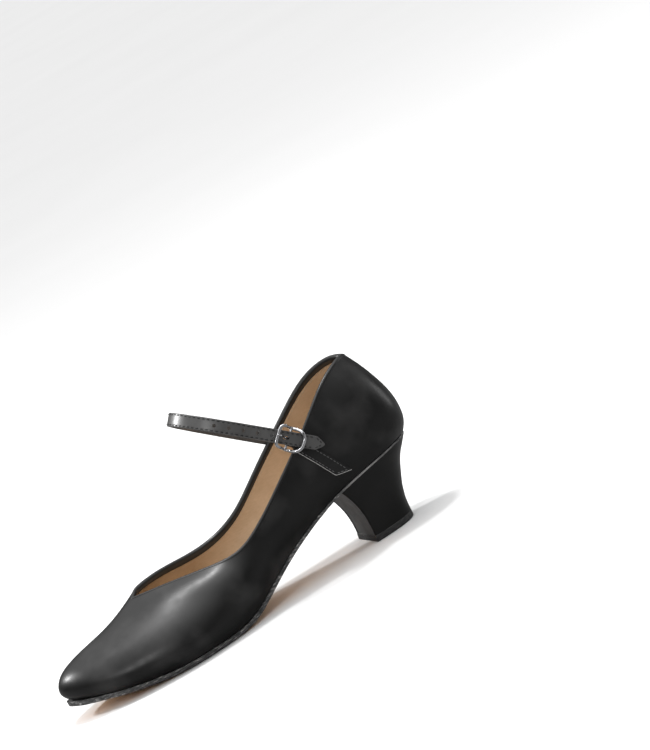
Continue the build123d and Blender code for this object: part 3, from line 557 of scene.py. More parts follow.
def sole_leather_material(name, light, dark, line, ink_base=0.022, ink_top=0.5):
    """natural face, black inked edge and scored lines, masked by point attributes"""
    material, sh = new_material(name)
    color = sh.ramp(sh.noise(scale=35, detail=5, rough=0.55), [(0.25, dark), (0.8, light)])
    fibre = sh.noise(scale=700, rough=0.7, stretch=(1.0, 0.3, 1.0))
    streaks = sh.remap(fibre, source=(0.35, 0.75), target=(0.0, 0.22))
    color = sh.mix(streaks, color, shade(dark, 0.75))
    scored = sh.remap(sh.attribute("score"), source=(0.1, 0.9), target=(0.0, 0.75))
    color = sh.mix(scored, color, line)
    speck = sh.noise(scale=1500, detail=3, rough=0.8, stretch=(1.0, 0.5, 1.6))
    cut_fibre = sh.noise(scale=520, detail=5, rough=0.75, stretch=(1.0, 0.35, 2.2))
    ink = sh.ramp(cut_fibre, [(0.36, (ink_base,) * 3), (0.48, (ink_base * 2.2,) * 3),
                              (0.56, (ink_base * 4.5,) * 3),
                              (0.68, (ink_top, ink_top * 0.97, ink_top * 0.92))])
    seat = sh.remap(sh.attribute("seat"), source=(0.0, 1.0), target=(0.0, 0.8))
    ink = sh.mix(seat, ink, (0.22, 0.214, 0.21))
    edge = sh.remap(sh.attribute("edge"), source=(0.35, 0.65))
    gloss = sh.remap(fibre, source=(0.3, 0.7), target=(0.5, 0.7))
    normal = sh.bump(fibre, strength=0.22, distance=0.00012)
    normal = sh.bump(speck, strength=0.55, distance=0.00035, normal=normal)
    sh.surface(sh.mix(edge, color, ink), sh.mix_value(edge, gloss, 0.5), normal)
    return material


def metal(name, color, rough, grain=0.0):
    material, sh = new_material(name)
    brushed = sh.noise(scale=900, detail=3, rough=0.6, stretch=(1.0, 1.0, 0.12))
    tint = sh.ramp(sh.noise(scale=120, detail=3), [(0.3, shade(color, 0.9)), (0.7, color)])
    gloss = sh.remap(brushed, source=(0.3, 0.7),
                     target=(max(0.04, rough - 0.02), rough + 0.03 + grain))
    normal = sh.bump(brushed, strength=0.04 + grain, distance=0.00005) if grain else None
    sh.surface(tint, gloss, normal, {"Metallic": 1.0})
    return material


def matte(name, light, dark, scale, rough, relief, weave=False, stretch=(1, 1, 1)):
    """one texture drives both colour and relief"""
    material, sh = new_material(name)
    if weave:
        height = sh.math("MULTIPLY", sh.wave(scale, turn=(0, 0, 0)),
                         sh.wave(scale, turn=(0, 0, math.pi / 2)))
    else:
        height = sh.noise(scale, detail=5, rough=0.65, stretch=stretch)
    color = sh.ramp(height, [(0.25, dark), (0.75, light)])
    sh.surface(color, rough, sh.bump(height, strength=relief, distance=0.0003))
    return material


# the upper's base colour carries soft patches of painted sheen
upper_leather = black_leather("upper_leather_black", rough=0.34, base=0.005, painted_sheen=0.021)
heel_leather = black_leather("heel_leather_black", rough=0.32, base=0.006)
# the breast's raised base grey is painted reflection of the pale floor on black leather
breast_leather = black_leather("heel_breast_leather", rough=0.45, base=0.044)
binding_leather = black_leather("binding_leather_black", rough=0.34, coat=0.15)
# the strap's raised base grey is painted light: a lighter copy of the black leather for the light
# its face catches
strap_leather = black_leather("strap_leather_black", base=0.055, coat=0.25, spec=0.5)
tab_leather = black_leather("tab_leather_black", coat=0.1, spec=0.4)
# painted highlight: a light grey for the light caught by the tab's cut edge
tab_edge_highlight = matte("tab_edge_painted_highlight", (0.42, 0.41, 0.40), (0.20, 0.195, 0.19),
                    scale=900, rough=0.5, relief=0.3)
# the tab's black thread given a grey base colour: painted highlight for the light its stitches
# catch
tab_thread_painted_highlight = matte("thread_black_painted_highlight", (0.10, 0.10, 0.10), (0.04, 0.04, 0.04),
                    scale=2500, rough=0.45, relief=0.4)
black_thread = matte("thread_black", (0.008, 0.008, 0.008), (0.003, 0.003, 0.003),
                     scale=2500, rough=0.45, relief=0.4)
tan_thread = matte("thread_natural", (0.62, 0.5, 0.36), (0.42, 0.32, 0.22),
                   scale=2500, rough=0.7, relief=0.4)
lining_leather = tan_leather("lining_leather", (0.60, 0.44, 0.29), (0.48, 0.34, 0.215),
                             rough=0.58, scale=1.4)
sock_leather = tan_leather("sock_leather", (0.66, 0.49, 0.33), (0.53, 0.38, 0.245),
                           rough=0.55, scale=1.1)
sole_leather = sole_leather_material("sole_leather", (0.86, 0.60, 0.40), (0.74, 0.47, 0.29),
                                     line=(0.50, 0.28, 0.15))
tread_leather = sole_leather_material("top_piece_leather", (0.83, 0.56, 0.37),
                                      (0.70, 0.44, 0.28), line=(0.5, 0.3, 0.2),
                                      ink_base=0.009, ink_top=0.05)
chrome = metal("buckle_plate", (0.70, 0.70, 0.72), rough=0.17)
plain_steel = metal("plain_steel", (0.5, 0.5, 0.52), rough=0.3, grain=0.05)
spring_steel = metal("spring_steel", (0.35, 0.36, 0.4), rough=0.38, grain=0.08)
backing_cloth = matte("backing_cloth", (0.75, 0.73, 0.68), (0.5, 0.48, 0.44),
                      scale=900, rough=0.9, relief=0.5, weave=True)
fibre_board = matte("fibre_board", (0.55, 0.40, 0.26), (0.36, 0.25, 0.16),
                    scale=380, rough=0.85, relief=0.4)
ground_cork = matte("ground_cork", (0.50, 0.33, 0.18), (0.22, 0.13, 0.07),
                    scale=420, rough=0.9, relief=0.6)
latex_foam = matte("latex_foam", (0.85, 0.80, 0.68), (0.62, 0.57, 0.47),
                   scale=700, rough=0.9, relief=0.7)
heel_wood = matte("heel_wood", (0.60, 0.42, 0.25), (0.36, 0.23, 0.12),
                  scale=90, rough=0.6, relief=0.25, stretch=(6, 6, 0.6))

# materials of the frame's own nodes
for material, names in (
        (backing_cloth, "upper_interlining"),
        (fibre_board, "toe_puff heel_counter insole_board"),
        (spring_steel, "shank_spring"),
        (plain_steel, "shank_rivets heel_screw heel_nails top_piece_nails"),
        (ground_cork, "bottom_filler seat_filler"),
        (latex_foam, "heel_pad"),
        (heel_wood, "heel_block"),
        (upper_leather, "upper_leather"),
        (lining_leather, "upper_lining"),
        (binding_leather, "topline_binding"),
        (sole_leather, "outsole"),
        (sock_leather, "sock_lining"),
        (heel_leather, "heel_cover"),
        (breast_leather, "heel_breast_cover"),
        (tread_leather, "heel_top_piece"),
        (strap_leather, "strap_anchor ankle_strap strap_lining buckle_tab"),
        (chrome, "buckle_bar buckle_frame buckle_prong")):
    for name in names.split():
        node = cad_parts[name]
        if not node.material_slots:
            node.data.materials.append(material)
        for slot in node.material_slots:
            slot.material = material

# ================================================================ upper
# depths under the outer face
UPPER_THICKNESS = 1.08
STIFFENER_DEPTHS = (1.36, 1.99)
LINING_DEPTH = 3.0
LINING_THICKNESS = 0.62
LAYER_FOOT_V = 0.085
# lasted edge of the upper: inset from the feather line, lift over the outsole
LASTED_OUTER = [(9.5, 0.14), (4.0, 0.14), (1.6, 0.16), (0.75, 0.30), (0.22, 0.62)]
LASTED_INNER = [(4.0, 1.22), (9.5, 1.22)]

around = np.arange(420) / 420
near_seam = np.array([0.0006, 0.0012, 0.0018])
around = np.unique(np.concatenate([around, near_seam, 1 - near_seam]))


def lasted_rows(table):
    rows = []
    for inset, lift in table:
        plan = face.feather(around, inset)
        rows.append(np.column_stack([plan, bed_z(plan[:, 1]) + lift]))
    return np.stack(rows, 1)


upper_v = np.concatenate([[0.014, 0.022, 0.032, 0.045], np.linspace(0.06, 0.94, 52),
                          [0.955, 0.968, 0.98, 0.99]])
# a shallow valley where the back seam closes
seam = np.exp(-((np.minimum(around, 1 - around) * 600) / 0.55) ** 2)[:, None, None] * 0.38
wall = face.offset(around, upper_v, seam)
inside = face.offset(around, upper_v[::-1][::3], UPPER_THICKNESS)
rows = np.concatenate([lasted_rows(LASTED_OUTER), wall, inside, lasted_rows(LASTED_INNER)], 1)
assign(loft("upper", rows, upper_leather, closed=True), "black_leather", "upper_leather")

# lining, rising towards the outer face near the topline
lining_v = np.concatenate([np.linspace(LAYER_FOOT_V, 0.95, 40), [0.965, 0.975]])
depth = np.interp(lining_v, [0, 0.93, 0.955, 0.975], [LINING_DEPTH, LINING_DEPTH, 2.9, 2.6])
rows = np.concatenate([
    face.offset(around, lining_v, (depth - LINING_THICKNESS)[None, :, None]),
    face.offset(around, lining_v, depth[None, :, None])[:, ::-1]], 1)
assign(loft("lining", rows, lining_leather, angle=60, closed=True), "lining", "upper_lining")


def stiffener(name, material, node, columns_u, v_low, v_high, slot, count=26):
    """sheet between upper and lining; v_low is one number or one per column"""
    v_low = np.broadcast_to(np.asarray(v_low, float), (len(columns_u),))
    shallow, deep = STIFFENER_DEPTHS
    middle, half = (shallow + deep) / 2, (deep - shallow) / 2
    steps = np.arange(count)
    soft = half * np.minimum(1, np.minimum(steps, steps[::-1]) / 2.0 + 0.35)   # thin ends
    rows = []
    for u, low in zip(columns_u, v_low):
        v = low + (v_high - low) * np.linspace(0, 1, count)
        points, inward = face.grid(np.array([u]), v)[0], face.normals([u], v)[0]
        outer = points + inward * (middle - soft)[:, None]
        inner = points + inward * (middle + soft)[:, None]
        rows.append(np.concatenate([outer, inner[::-1]]))
    assign(loft(name, rows, material, angle=60), slot, node)


toe_u = float(face.rib_u[len(LATERAL_RIBS)])
stiffener("toe_puff_shell", fibre_board, "toe_puff",
          np.linspace(toe_u - 0.08, toe_u + 0.08, 61), LAYER_FOOT_V, 0.51, "stiffener")
stiffener("counter_shell", fibre_board, "heel_counter",
          np.linspace(-0.155, 0.155, 91), LAYER_FOOT_V, 0.70, "stiffener")
cloth_u = np.linspace(0.168, 0.832, 181)
over_toe_puff = np.clip((0.125 - np.abs(cloth_u - toe_u)) / 0.04, 0, 1)
stiffener("interlining_cloth", backing_cloth, "upper_interlining", cloth_u,
          LAYER_FOOT_V + 0.46 * over_toe_puff, 0.985, "cloth")

# rolled edge along the topline; section: depth inwards, height over the topline
BINDING_SECTION = [
    (-0.02, -1.15), (-0.14, -1.02), (-0.21, -0.6), (-0.2, 0.0), (-0.06, 0.55), (0.35, 0.98),
    (1.0, 1.2), (1.7, 1.15), (2.35, 0.85), (2.85, 0.35), (3.14, -0.35), (3.22, -1.2),
    (3.22, -2.1), (3.16, -2.9), (2.98, -3.15), (2.7, -2.8), (1.6, -1.6), (0.6, -1.3)]
topline = face.grid(around, np.array([1.0]))[:, 0]
topline_up = unit(topline - face.grid(around, np.array([0.985]))[:, 0])
topline_in = face.normals(around, [1.0])[:, 0]
rows = np.stack([topline + topline_in * a + topline_up * b for a, b in BINDING_SECTION], 1)
assign(loft("topline_edge", rows, binding_leather, angle=70, closed=True),
       "black_leather", "topline_binding")

# row of stitching that holds the lining, inside the topline
row = topline + topline_in * 3.05 - topline_up * 4.5
threads = stitches(np.concatenate([row, row[:1]]), np.concatenate([topline_in, topline_in[:1]]),
                   pitch=2.6, length=1.9, radius=0.17, lift=0.12)
assign(make("lining_stitches", threads, tan_thread), "lining")

# strip sewn over the back seam, inside the heel
strip_w = np.linspace(-1, 1, 9)
strip_u, strip_v = 0.012 * strip_w, np.linspace(0.10, 0.93, 40)
base = face.offset(strip_u, strip_v, LINING_DEPTH + 0.02)
inward = face.normals(strip_u, strip_v)
rise = (0.34 * (1 - np.abs(strip_w) ** 6))[:, None, None]
rows = np.concatenate([base + inward * rise, (base - inward * 0.15)[::-1]]).transpose(1, 0, 2)
assign(loft("back_strip", rows, lining_leather, angle=60), "lining")


# ================================================================ bottom
def bottom_sides(inset):
    """the two sides of the bottom outline, each sorted by y"""
    plan = face.feather(np.arange(1440) / 1440, inset)
    back = int(np.argmax(plan[:, 1]))
    plan = np.roll(plan, -back, 0)
    toe = int(np.argmin(plan[:, 1]))
    lateral, medial = plan[:toe + 1], np.concatenate([plan[toe:], plan[:1]])
    return [side[np.argsort(side[:, 1])] for side in (lateral, medial)]


def plate(name, inset, stations, section, material):
    """lofted along the shoe; section(y, centre, half width) gives a closed loop of x, z"""
    a, b = bottom_sides(inset)
    low = max(a[0, 1], b[0, 1]) + 0.02
    high = min(a[-1, 1], b[-1, 1]) - 0.02
    rows = []
    for y in stations:
        y = min(max(y, low), high)
        left, right = sorted(np.interp(y, side[:, 1], side[:, 0]) for side in (a, b))
        loop = section(y, (left + right) / 2, (right - left) / 2)
        rows.append([(x, y, z) for x, z in loop])
    return loft(name, rows, material, angle=50)


def plate_stations(inset, spans):
    """y places, closer together at both rounded ends; spans are (from, to, step)"""
    side = bottom_sides(inset)[0]
    y0, y1 = side[0, 1], side[-1, 1]
    ends = np.array([0.02, 0.06, 0.14, 0.3, 0.55, 0.9, 1.4, 2.1, 3.0, 4.1, 5.4])
    middle = np.concatenate([np.arange(*span) for span in spans])
    middle = middle[(middle > y0 + 6.4) & (middle < y1 - 6.4)]
    return np.unique(np.concatenate([y0 + ends, middle, y1 - ends]))


# scored lines on the forepart: angle in degrees, pitch, last y towards the heel, side
SCORE_SETS = [(38.0, 2.9, -118.0, 1), (98.0, 3.1, -124.0, -1)]
SCORE_TOE_Y = -207.0


def scatter(i, seed):
    """repeatable number from 0 to 1 for each line"""
    v = np.sin(i * 12.9898 + seed * 78.233) * 43758.5453
    return v - np.floor(v)


def score_depth(x, y):
    """depth share of two crossing sets of scored lines"""
    depth = np.zeros_like(x)
    for k, (angle, pitch, heel_y, side) in enumerate(SCORE_SETS):
        t = math.radians(angle)
        across = -x * math.sin(t) + y * math.cos(t)
        along = x * math.cos(t) + y * math.sin(t)
        i = np.round(across / pitch)
        shift = (scatter(i, k + 1.0) - 0.5) * 0.9
        gap = across - (i * pitch + shift + 0.35 * np.sin(along * 0.05 + i))
        line = np.exp(-(gap / 0.30) ** 2)
        end = 5.0 * scatter(i, k + 5.0)
        reach = (np.clip((y - (SCORE_TOE_Y + end)) / 2, 0, 1)
                 * np.clip((heel_y - end - y) / 3, 0, 1))
        lean = np.clip((side * (x + 3.0) + 22 + np.clip((-150 - y) * 0.9, 0, 40)) / 6, 0, 1)
        depth = np.maximum(depth, line * reach * lean * (0.65 + 0.35 * scatter(i, k + 9.0)))
    return depth


SOLE_INSET = 0.45
SOLE_SPREAD = math.pi / 2 * 0.72
sole_shares = np.sin(np.linspace(-1, 1, 176) * SOLE_SPREAD) / math.sin(SOLE_SPREAD)


def sole_section(y, centre, half):
    low, top = sole_z(y), bed_z(y) - 0.03
    r = min(0.7, half * 0.3, (top - low) * 0.3)
    # right side, bottom to top: distance in from the side, height
    side = [(r * 0.3, low + r * 0.3), (0, low + r), (0.02, (low + top) / 2),
            (0.1, top - 0.25 * r), (0.5 * r + 0.1, top)]
    return ([(centre + s * (half - r), low) for s in sole_shares]
            + [(centre + half - d, z) for d, z in side]
            + [(centre - half + d, z) for d, z in side[::-1]])


def finish_sole(sole):
    """scored lines, drawn-out toe, fibrous cut side, and the masks of the material"""
    co = coordinates(sole)
    under = np.abs(co[:, 2] - sole_z(co[:, 1])) < 0.02
    lateral, medial = bottom_sides(SOLE_INSET)
    edge_gap = np.minimum(np.interp(co[:, 1], lateral[:, 1], lateral[:, 0]) - co[:, 0],
                          co[:, 0] - np.interp(co[:, 1], medial[:, 1], medial[:, 0]))
    end_gap = np.minimum(co[:, 1] - lateral[0, 1], lateral[-1, 1] - co[:, 1])
    scored = np.where(under, score_depth(co[:, 0], co[:, 1]), 0.0)
    scored = scored * np.clip((edge_gap - 2.0) / 1.5, 0, 1)
    co[:, 2] += scored * 0.2
    co[:, 1] -= 2.3 * np.clip((-202 - co[:, 1]) / 12, 0, 1) ** 2
    phase = co[:, 0] * 1.7 + co[:, 1] * 2.3
    fibres = 0.05 * np.sin(phase * 3.1) + 0.04 * np.sin(phase * 7.7 + co[:, 2] * 4)
    co[~under, 0] += fibres[~under]
    sole.data.vertices.foreach_set("co", (co * MM).ravel())
    add_attribute(sole, "seat", np.clip((co[:, 1] + 22) / 6, 0, 1)
                  * np.clip((22 - co[:, 1]) / 26, 0, 1))
    add_attribute(sole, "score", scored)
    on_face = under & (np.minimum(edge_gap, end_gap + 0.4) > 0.75)
    add_attribute(sole, "edge", np.where(on_face, 0.0, 1.0))
    sole.data.update()


stations = plate_stations(SOLE_INSET, [(-214, -108, 0.45), (-108, 40, 2.0)])
sole = plate("sole", SOLE_INSET, stations, sole_section, sole_leather)
finish_sole(sole)
assign(sole, "sole_leather", "outsole")

# sock, raised over the heel cushion; heights above the bed
SOCK_INSET, PAD_INSET = 3.35, 5.0
PAD_START_Y = -34
PAD_Y = [PAD_START_Y, -26, -12, 60]
sock_rise = monotone(PAD_Y, [0.0, 0.35, 1.5, 1.5])
pad_rise = monotone(PAD_Y, [0.02, 0.25, 1.42, 1.42])


def sock_top(y):
    return bed_z(y) + 4.3 + np.where(y < PAD_START_Y, 0, sock_rise(y))


def sock_section(y, centre, half):
    z = sock_top(y)
    shares = np.linspace(-1, 1, 31)
    top = [(centre + s * half, z + 0.25 * (1 - s * s) - 0.55 * abs(s) ** 14) for s in shares]
    return top + [(centre - s * (half - 0.2), z - 0.72) for s in shares[::5]]


def pad_section(y, centre, half):
    low = bed_z(y) + 3.5
    thickness = 0.06 + pad_rise(y)
    shares = np.linspace(-1, 1, 25)
    top = [(centre + s * half, low + thickness * (1 - abs(s) ** 10 * 0.8)) for s in shares]
    return top + [(centre - s * (half - 0.1), low) for s in shares[::4]]


stations = plate_stations(SOCK_INSET, [(-214, 40, 2.0)])
assign(plate("sock", SOCK_INSET, stations, sock_section, sock_leather), "lining", "sock_lining")
stations = plate_stations(PAD_INSET, [(-214, 40, 1.5)])
assign(plate("heel_cushion", PAD_INSET, stations[stations > -25], pad_section, latex_foam),
       "foam", "heel_pad")

# stitched oval on the sock, over the heel cushion
a = np.linspace(0, TAU, 90)
x, y = 15.5 * np.cos(a) * (1 - 0.10 * np.sin(a)), 3.0 + 22.0 * np.sin(a)
z = sock_top(y) + 0.25 * (1 - (x / 22) ** 2) + 0.04
threads = stitches(np.stack([x, y, z], 1), (0, 0, 1), pitch=2.6, length=1.8, radius=0.17,
                   lift=0.12)
assign(make("sock_stitches", threads, tan_thread), "lining")

# ================================================================ heel
# outline by height: z, y of the back, half width
HEEL_OUTLINE = [
    (-2, 15.6, 17.4), (0, 15.6, 17.5), (9, 16.1, 17.8), (18, 18.0, 18.9), (26, 21.2, 20.6),
    (32, 24.0, 22.2), (37, 27.0, 23.8), (42, 31.2, 25.4), (47, 35.2, 26.8), (52, 38.6, 28.0)]
# breast (the face towards the toe): z, y
BREAST = [(-2, -16.6), (0, -16.4), (3, -15.9), (9, -15.5), (16, -15.7), (21, -16.5),
          (26, -17.8), (31, -19.6), (36, -22.0), (40, -24.2), (60, -27.0)]
# wrapped corner of the cover: distance in from the half width, y from the breast
COVER_CORNER = [(2.6, 0.30), (2.5, 0.02), (1.9, -0.06), (1.2, -0.04), (0.55, 0.12),
                (0.14, 0.5), (0.01, 1.0)]
# top piece from the ground up: z, inset
TOP_PIECE_LAYERS = [(0.0, 1.6), (0.0, 0.9), (0.0, 0.45), (0.14, 0.14), (0.45, 0.0),
                    (1.2, -0.03), (2.2, 0.0), (3.3, -0.03), (3.7, 0.05), (3.98, 0.35)]
COVER_Z = 4.06
HEEL_TOP_Z = 50
HEEL_GAP = 0.06           # between the covers and the sole
NAILS = [(0, 8.5), (-8.5, -6.0), (8.5, -6.0)]
# recess and shaft of each nail: radius, z span, sides
NAIL_CUTS = [(1.38, (-0.5, 0.95), 28), (0.78, (0.5, 4.5), 20)]

heel_z, back_y, half_width = zip(*HEEL_OUTLINE)
heel_back = monotone(heel_z, back_y)
heel_half = monotone(heel_z, half_width)
breast = monotone(*zip(*BREAST))


def heel_plan(z, angles, inset=0.0):
    """curved plan outline; angles run from 0 (+X breast corner) to pi (-X breast corner)"""
    back, front = heel_back(z) - inset, breast(z) + inset
    x = (heel_half(z) - inset) * signed_power(np.cos(angles), 0.92)
    y = front + (back - front) * np.abs(np.sin(angles)) ** (2 / (2.7 + 0.012 * z))
    return np.column_stack([x, y])


def heel_columns(path, count):
    """rows of path(z), a list of plan points; every column runs up to the sole"""
    levels = np.linspace(0, HEEL_TOP_Z, 61)
    table = np.array([path(z) for z in levels])
    rows = np.zeros((count, table.shape[1], 3))
    tries = np.linspace(COVER_Z, HEEL_TOP_Z, 400)
    for k in range(table.shape[1]):
        over = tries - (sole_z(np.interp(tries, levels, table[:, k, 1])) - HEEL_GAP)
        i = int(np.argmax(over > 0))
        top = tries[i - 1] + (tries[i] - tries[i - 1]) * -over[i - 1] / (over[i] - over[i - 1])
        z = COVER_Z + (top - COVER_Z) * np.linspace(0, 1, count)
        rows[:, k, 0] = np.interp(z, levels, table[:, k, 0])
        rows[:, k, 1] = np.interp(z, levels, table[:, k, 1])
        rows[:, k, 2] = z
    return rows


def cover_path(z):
    half, front = heel_half(z), breast(z)
    body = heel_plan(z, math.pi * (0.010 + 0.98 * np.arange(71) / 70))
    body = even(body[body[:, 1] > front + 1.6], 61)
    right = [(half - d, front + y) for d, y in COVER_CORNER]
    left = [(-x, y) for x, y in right[::-1]]
    outer = np.concatenate([right, body, left])
    along = unit(np.gradient(outer, axis=0))
    inward = np.stack([-along[:, 1], along[:, 0]], 1)
    inner = outer[3:-3] + inward[3:-3] * 0.8
    return np.concatenate([outer, inner[::-4]])


def breast_path(z):
    half, front = heel_half(z), breast(z)
    xs = np.linspace(-(half - 2.25), half - 2.25, 25)
    return ([(x, front + 0.24 + 0.10 * (abs(x) / half) ** 4) for x in xs]
            + [(x, front + 0.9) for x in xs[::-4]])


def top_piece_loop(z, inset):
    half, front = heel_half(z) - inset, breast(z) + inset
    angles = np.concatenate([[0.0, 0.012], np.linspace(0.03, math.pi - 0.03, 72),
                             [math.pi - 0.012, math.pi]])
    plan = heel_plan(z, angles, inset).tolist()
    plan += [(x, front) for x in np.linspace(-half, half, 22)[1:-1]]
    return [(x, y, z) for x, y in plan]


assign(loft("heel_wrap", heel_columns(cover_path, 46), heel_leather, angle=55),
       "heel_leather", "heel_cover")
assign(loft("heel_breast_panel", heel_columns(breast_path, 40), breast_leather, angle=55),
       "heel_leather", "heel_breast_cover")

rows = [top_piece_loop(z, inset) for z, inset in TOP_PIECE_LAYERS]
tread = loft("heel_tread", rows, tread_leather, None, angle=40)
cut(tread, [hole_cutter((x, y, 0), (0, 0, 1), SIDEWAYS, (radius, radius), depth, sides)
            for radius, depth, sides in NAIL_CUTS for x, y in NAILS])
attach(tread, "shoe")
co = coordinates(tread)
outline = np.array(top_piece_loop(0.0, 0.0))
gap = np.hypot(outline[:, 0] - co[:, :1], outline[:, 1] - co[:, 1:2]).min(1)
inked = ((co[:, 2] > 0.3) & (gap < 1.5)) | (gap < 1.0)
add_attribute(tread, "edge", np.where(inked, 1.0, 0.0))
for name in ("score", "seat"):
    add_attribute(tread, name, np.zeros(len(co)))
assign(tread, "top_piece_leather", "heel_top_piece")

# ================================================================ strap
STRAP_WIDTH, STRAP_HALF = 8.2, 0.8      # width and half thickness
STRAP_SLOPE, BUCKLE_SLOPE = math.radians(40.0), math.radians(48.0)
STRAP_RUN = np.array([0, -math.cos(STRAP_SLOPE), math.sin(STRAP_SLOPE)])
STRAP_ACROSS = np.array([0, math.sin(STRAP_SLOPE), math.cos(STRAP_SLOPE)])
BUCKLE_RUN = np.array([0, math.cos(BUCKLE_SLOPE), -math.sin(BUCKLE_SLOPE)])
BUCKLE_ACROSS = np.array([0, math.sin(BUCKLE_SLOPE), math.cos(BUCKLE_SLOPE)])
QUARTER_X = 29.0                        # x the buckle's heights are measured from
BAR_HEIGHT, BAR_RADIUS = 1.9, 0.7
CROSSING = 2.6                          # where strap and buckle lines cross, from the bar
HOLE_PITCH, HOLE_COUNT, HOLE_RADIUS = 8.6, 6, 1.12
FRAME_END_HEIGHT = 7.1                  # frame's ends over QUARTER_X
BUCKLE_BASE = np.array([QUARTER_X, -37.4, 84.0])
crossing_shift = float((-BUCKLE_RUN * CROSSING) @ STRAP_ACROSS)
STRAP_BASE = BUCKLE_BASE * (0, 1, 1) + STRAP_ACROSS * crossing_shift
STRAP_X = QUARTER_X + 3.6 + STRAP_HALF
# middle of the strap round the ankle: x, distance along STRAP_RUN
LOOP = [(-30.6, -4.6), (-31.8, 8), (-31.2, 24), (-26.8, 42), (-16, 57.2), (0, 64.2),
        (16, 58.6), (26.8, 44), (31.6, 26), (33.2, 12), (STRAP_X, 0), (STRAP_X - 0.15, -12),
        (STRAP_X - 0.9, -23.6)]
LOOP_BUCKLE = 10                        # index of the loop point at the buckle
medial_quarter = face.grid(np.linspace(0.70, 0.96, 260), np.linspace(0.3, 1.0, 140))


def quarter_x_at(grid, point):
    """x of the grid point nearest in side view"""
    gaps = (grid[:, :, 1] - point[1]) ** 2 + (grid[:, :, 2] - point[2]) ** 2
    return grid[np.unravel_index(np.argmin(gaps), gaps.shape)][0]


def medial_reach(run):
    """how far the medial quarter stands out under the strap"""
    return max(abs(quarter_x_at(medial_quarter, STRAP_BASE + STRAP_RUN * run + STRAP_ACROSS * w))
               for w in (-4, 0, 4))


sewn_end = [(-(medial_reach(run) + 0.95), run) for run in (-19.0, -14.0, -9.0)]
strap_path = np.array(sewn_end + LOOP)
path_lengths = run_length(strap_path)
path_curve = Spline(path_lengths, strap_path)
strap_length = path_lengths[-1] - 1.5


def strap_frame(places):
    """middle points and outward normals at distances from the sewn end"""
    path = path_curve(places)
    ahead = path_curve(np.clip(places + 0.05, 0, strap_length))
    along = unit(ahead - path_curve(np.clip(places - 0.05, 0, strap_length)))
    return (STRAP_BASE + path[:, :1] * SIDEWAYS + path[:, 1:] * STRAP_RUN,
            -along[:, 1:] * SIDEWAYS + along[:, :1] * STRAP_RUN)


def strap_section():
    """half-width and half-thickness shares: rounded edges, a shallow channel under the
    stitching, and a groove in each side where the two layers meet"""
    top = []
    for w in np.linspace(-1, 1, 27):
        a = abs(w)
        channel = 0.10 * math.exp(-((a - 0.74) / 0.055) ** 2)
        h = 1.0 - 0.30 * max(0, (a - 0.86) / 0.14) ** 2 - channel + 0.04 * (1 - a * a)
        top.append((w * 0.985 if a > 0.98 else w, h))
    side = [(1.0, 0.45), (1.0, 0.25), (0.975, 0.12), (0.975, -0.02), (1.0, -0.15),
            (1.0, -0.6), (0.96, -0.9)]
    low = [(w, -1.0) for w in np.linspace(0.9, -0.9, 9)]
    return np.array(top + side + low + [(-a, b) for a, b in side[::-1]]).T


def strap_rows():
    places = np.unique(np.concatenate([
        np.linspace(0, 0.6, 5), np.arange(0.6, strap_length - 7, 0.8),
        np.linspace(strap_length - 7, strap_length, 30)]))
    tip_gap = strap_length - places
    full = STRAP_WIDTH / 2
    taper = 0.35 + (full - 0.35) * np.clip(tip_gap / 5.6, 0, 1) ** 0.85
    half = np.where(tip_gap < 5.6, taper, full)
    half = np.where(places < 0.5, half - 0.35 * (1 - places / 0.5), half)
    thick = np.where(tip_gap < 0.5, STRAP_HALF * (0.45 + 0.55 * tip_gap / 0.5), STRAP_HALF)
    across, up = strap_section()
    return [centre + np.outer(across * h, STRAP_ACROSS) + np.outer(up * t, normal)
            for centre, normal, h, t in zip(*strap_frame(places), half, thick)]


def hole_cutters():
    """the first hole, at the buckle, is a slot along the strap"""
    first = path_lengths[len(sewn_end) + LOOP_BUCKLE] - CROSSING
    places = np.array([first - HOLE_PITCH * k for k in range(HOLE_COUNT)])
    cutters = []
    for k, (centre, normal) in enumerate(zip(*strap_frame(places))):
        radii = (HOLE_RADIUS, HOLE_RADIUS) if k else (2.3, 1.0)
        along = np.cross(STRAP_ACROSS, normal)
        cutters.append(hole_cutter(centre, normal, along, radii, (-3, 3), 28))
    return cutters


def blend_strap(part):
    """bakes the part's placement into its mesh"""
    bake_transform(part)


strap = loft("ankle_strap_leather", strap_rows(), strap_leather, None, angle=60)
cut(strap, hole_cutters())
blend_strap(strap)
assign(strap, "strap_leather", "strap_anchor", "ankle_strap", "strap_lining")

# stitching on both edges of the strap, round its point and across its sewn end
threads = []
centres, normals = strap_frame(np.arange(0.9, strap_length - 6.2, 0.5))
for side in (-1, 1):
    row = centres + STRAP_ACROSS * side * 3.05 + normals * (STRAP_HALF * 0.92)
    threads += stitches(row, normals, pitch=3.0, length=1.9, radius=0.36, start=0.2, lift=0.14)
centres, normals = strap_frame(np.array([strap_length - 6.0, strap_length - 1.9]))
for side in (-1, 1):
    a, b = (centres[i] + STRAP_ACROSS * side * reach + normals[i] * (STRAP_HALF * 0.96)
            for i, reach in enumerate((3.0, 0.35)))
    threads += stitches(np.linspace(a, b, 12), normals[0], pitch=2.4, length=1.8, radius=0.27,
                        start=0.2)
for centre, normal in zip(*strap_frame(np.array([1.4, 9.5]))):
    a, b = (centre + STRAP_ACROSS * w + normal * STRAP_HALF for w in (-3.0, 3.0))
    threads += stitches(np.linspace(a, b, 12), normal, pitch=2.2, length=1.7, radius=0.2,
                        start=0.2)
strap_threads = make("strap_stitches", threads, black_thread, None)
blend_strap(strap_threads)
assign(strap_threads, "strap_leather")


# ================================================================ buckle
def buckle_point(run, across, height):
    """numbers or arrays; run 0 is at the bar, height is over QUARTER_X"""
    return (BUCKLE_BASE + np.multiply.outer(run, BUCKLE_RUN)
            + np.multiply.outer(across, BUCKLE_ACROSS) + np.multiply.outer(height, SIDEWAYS))


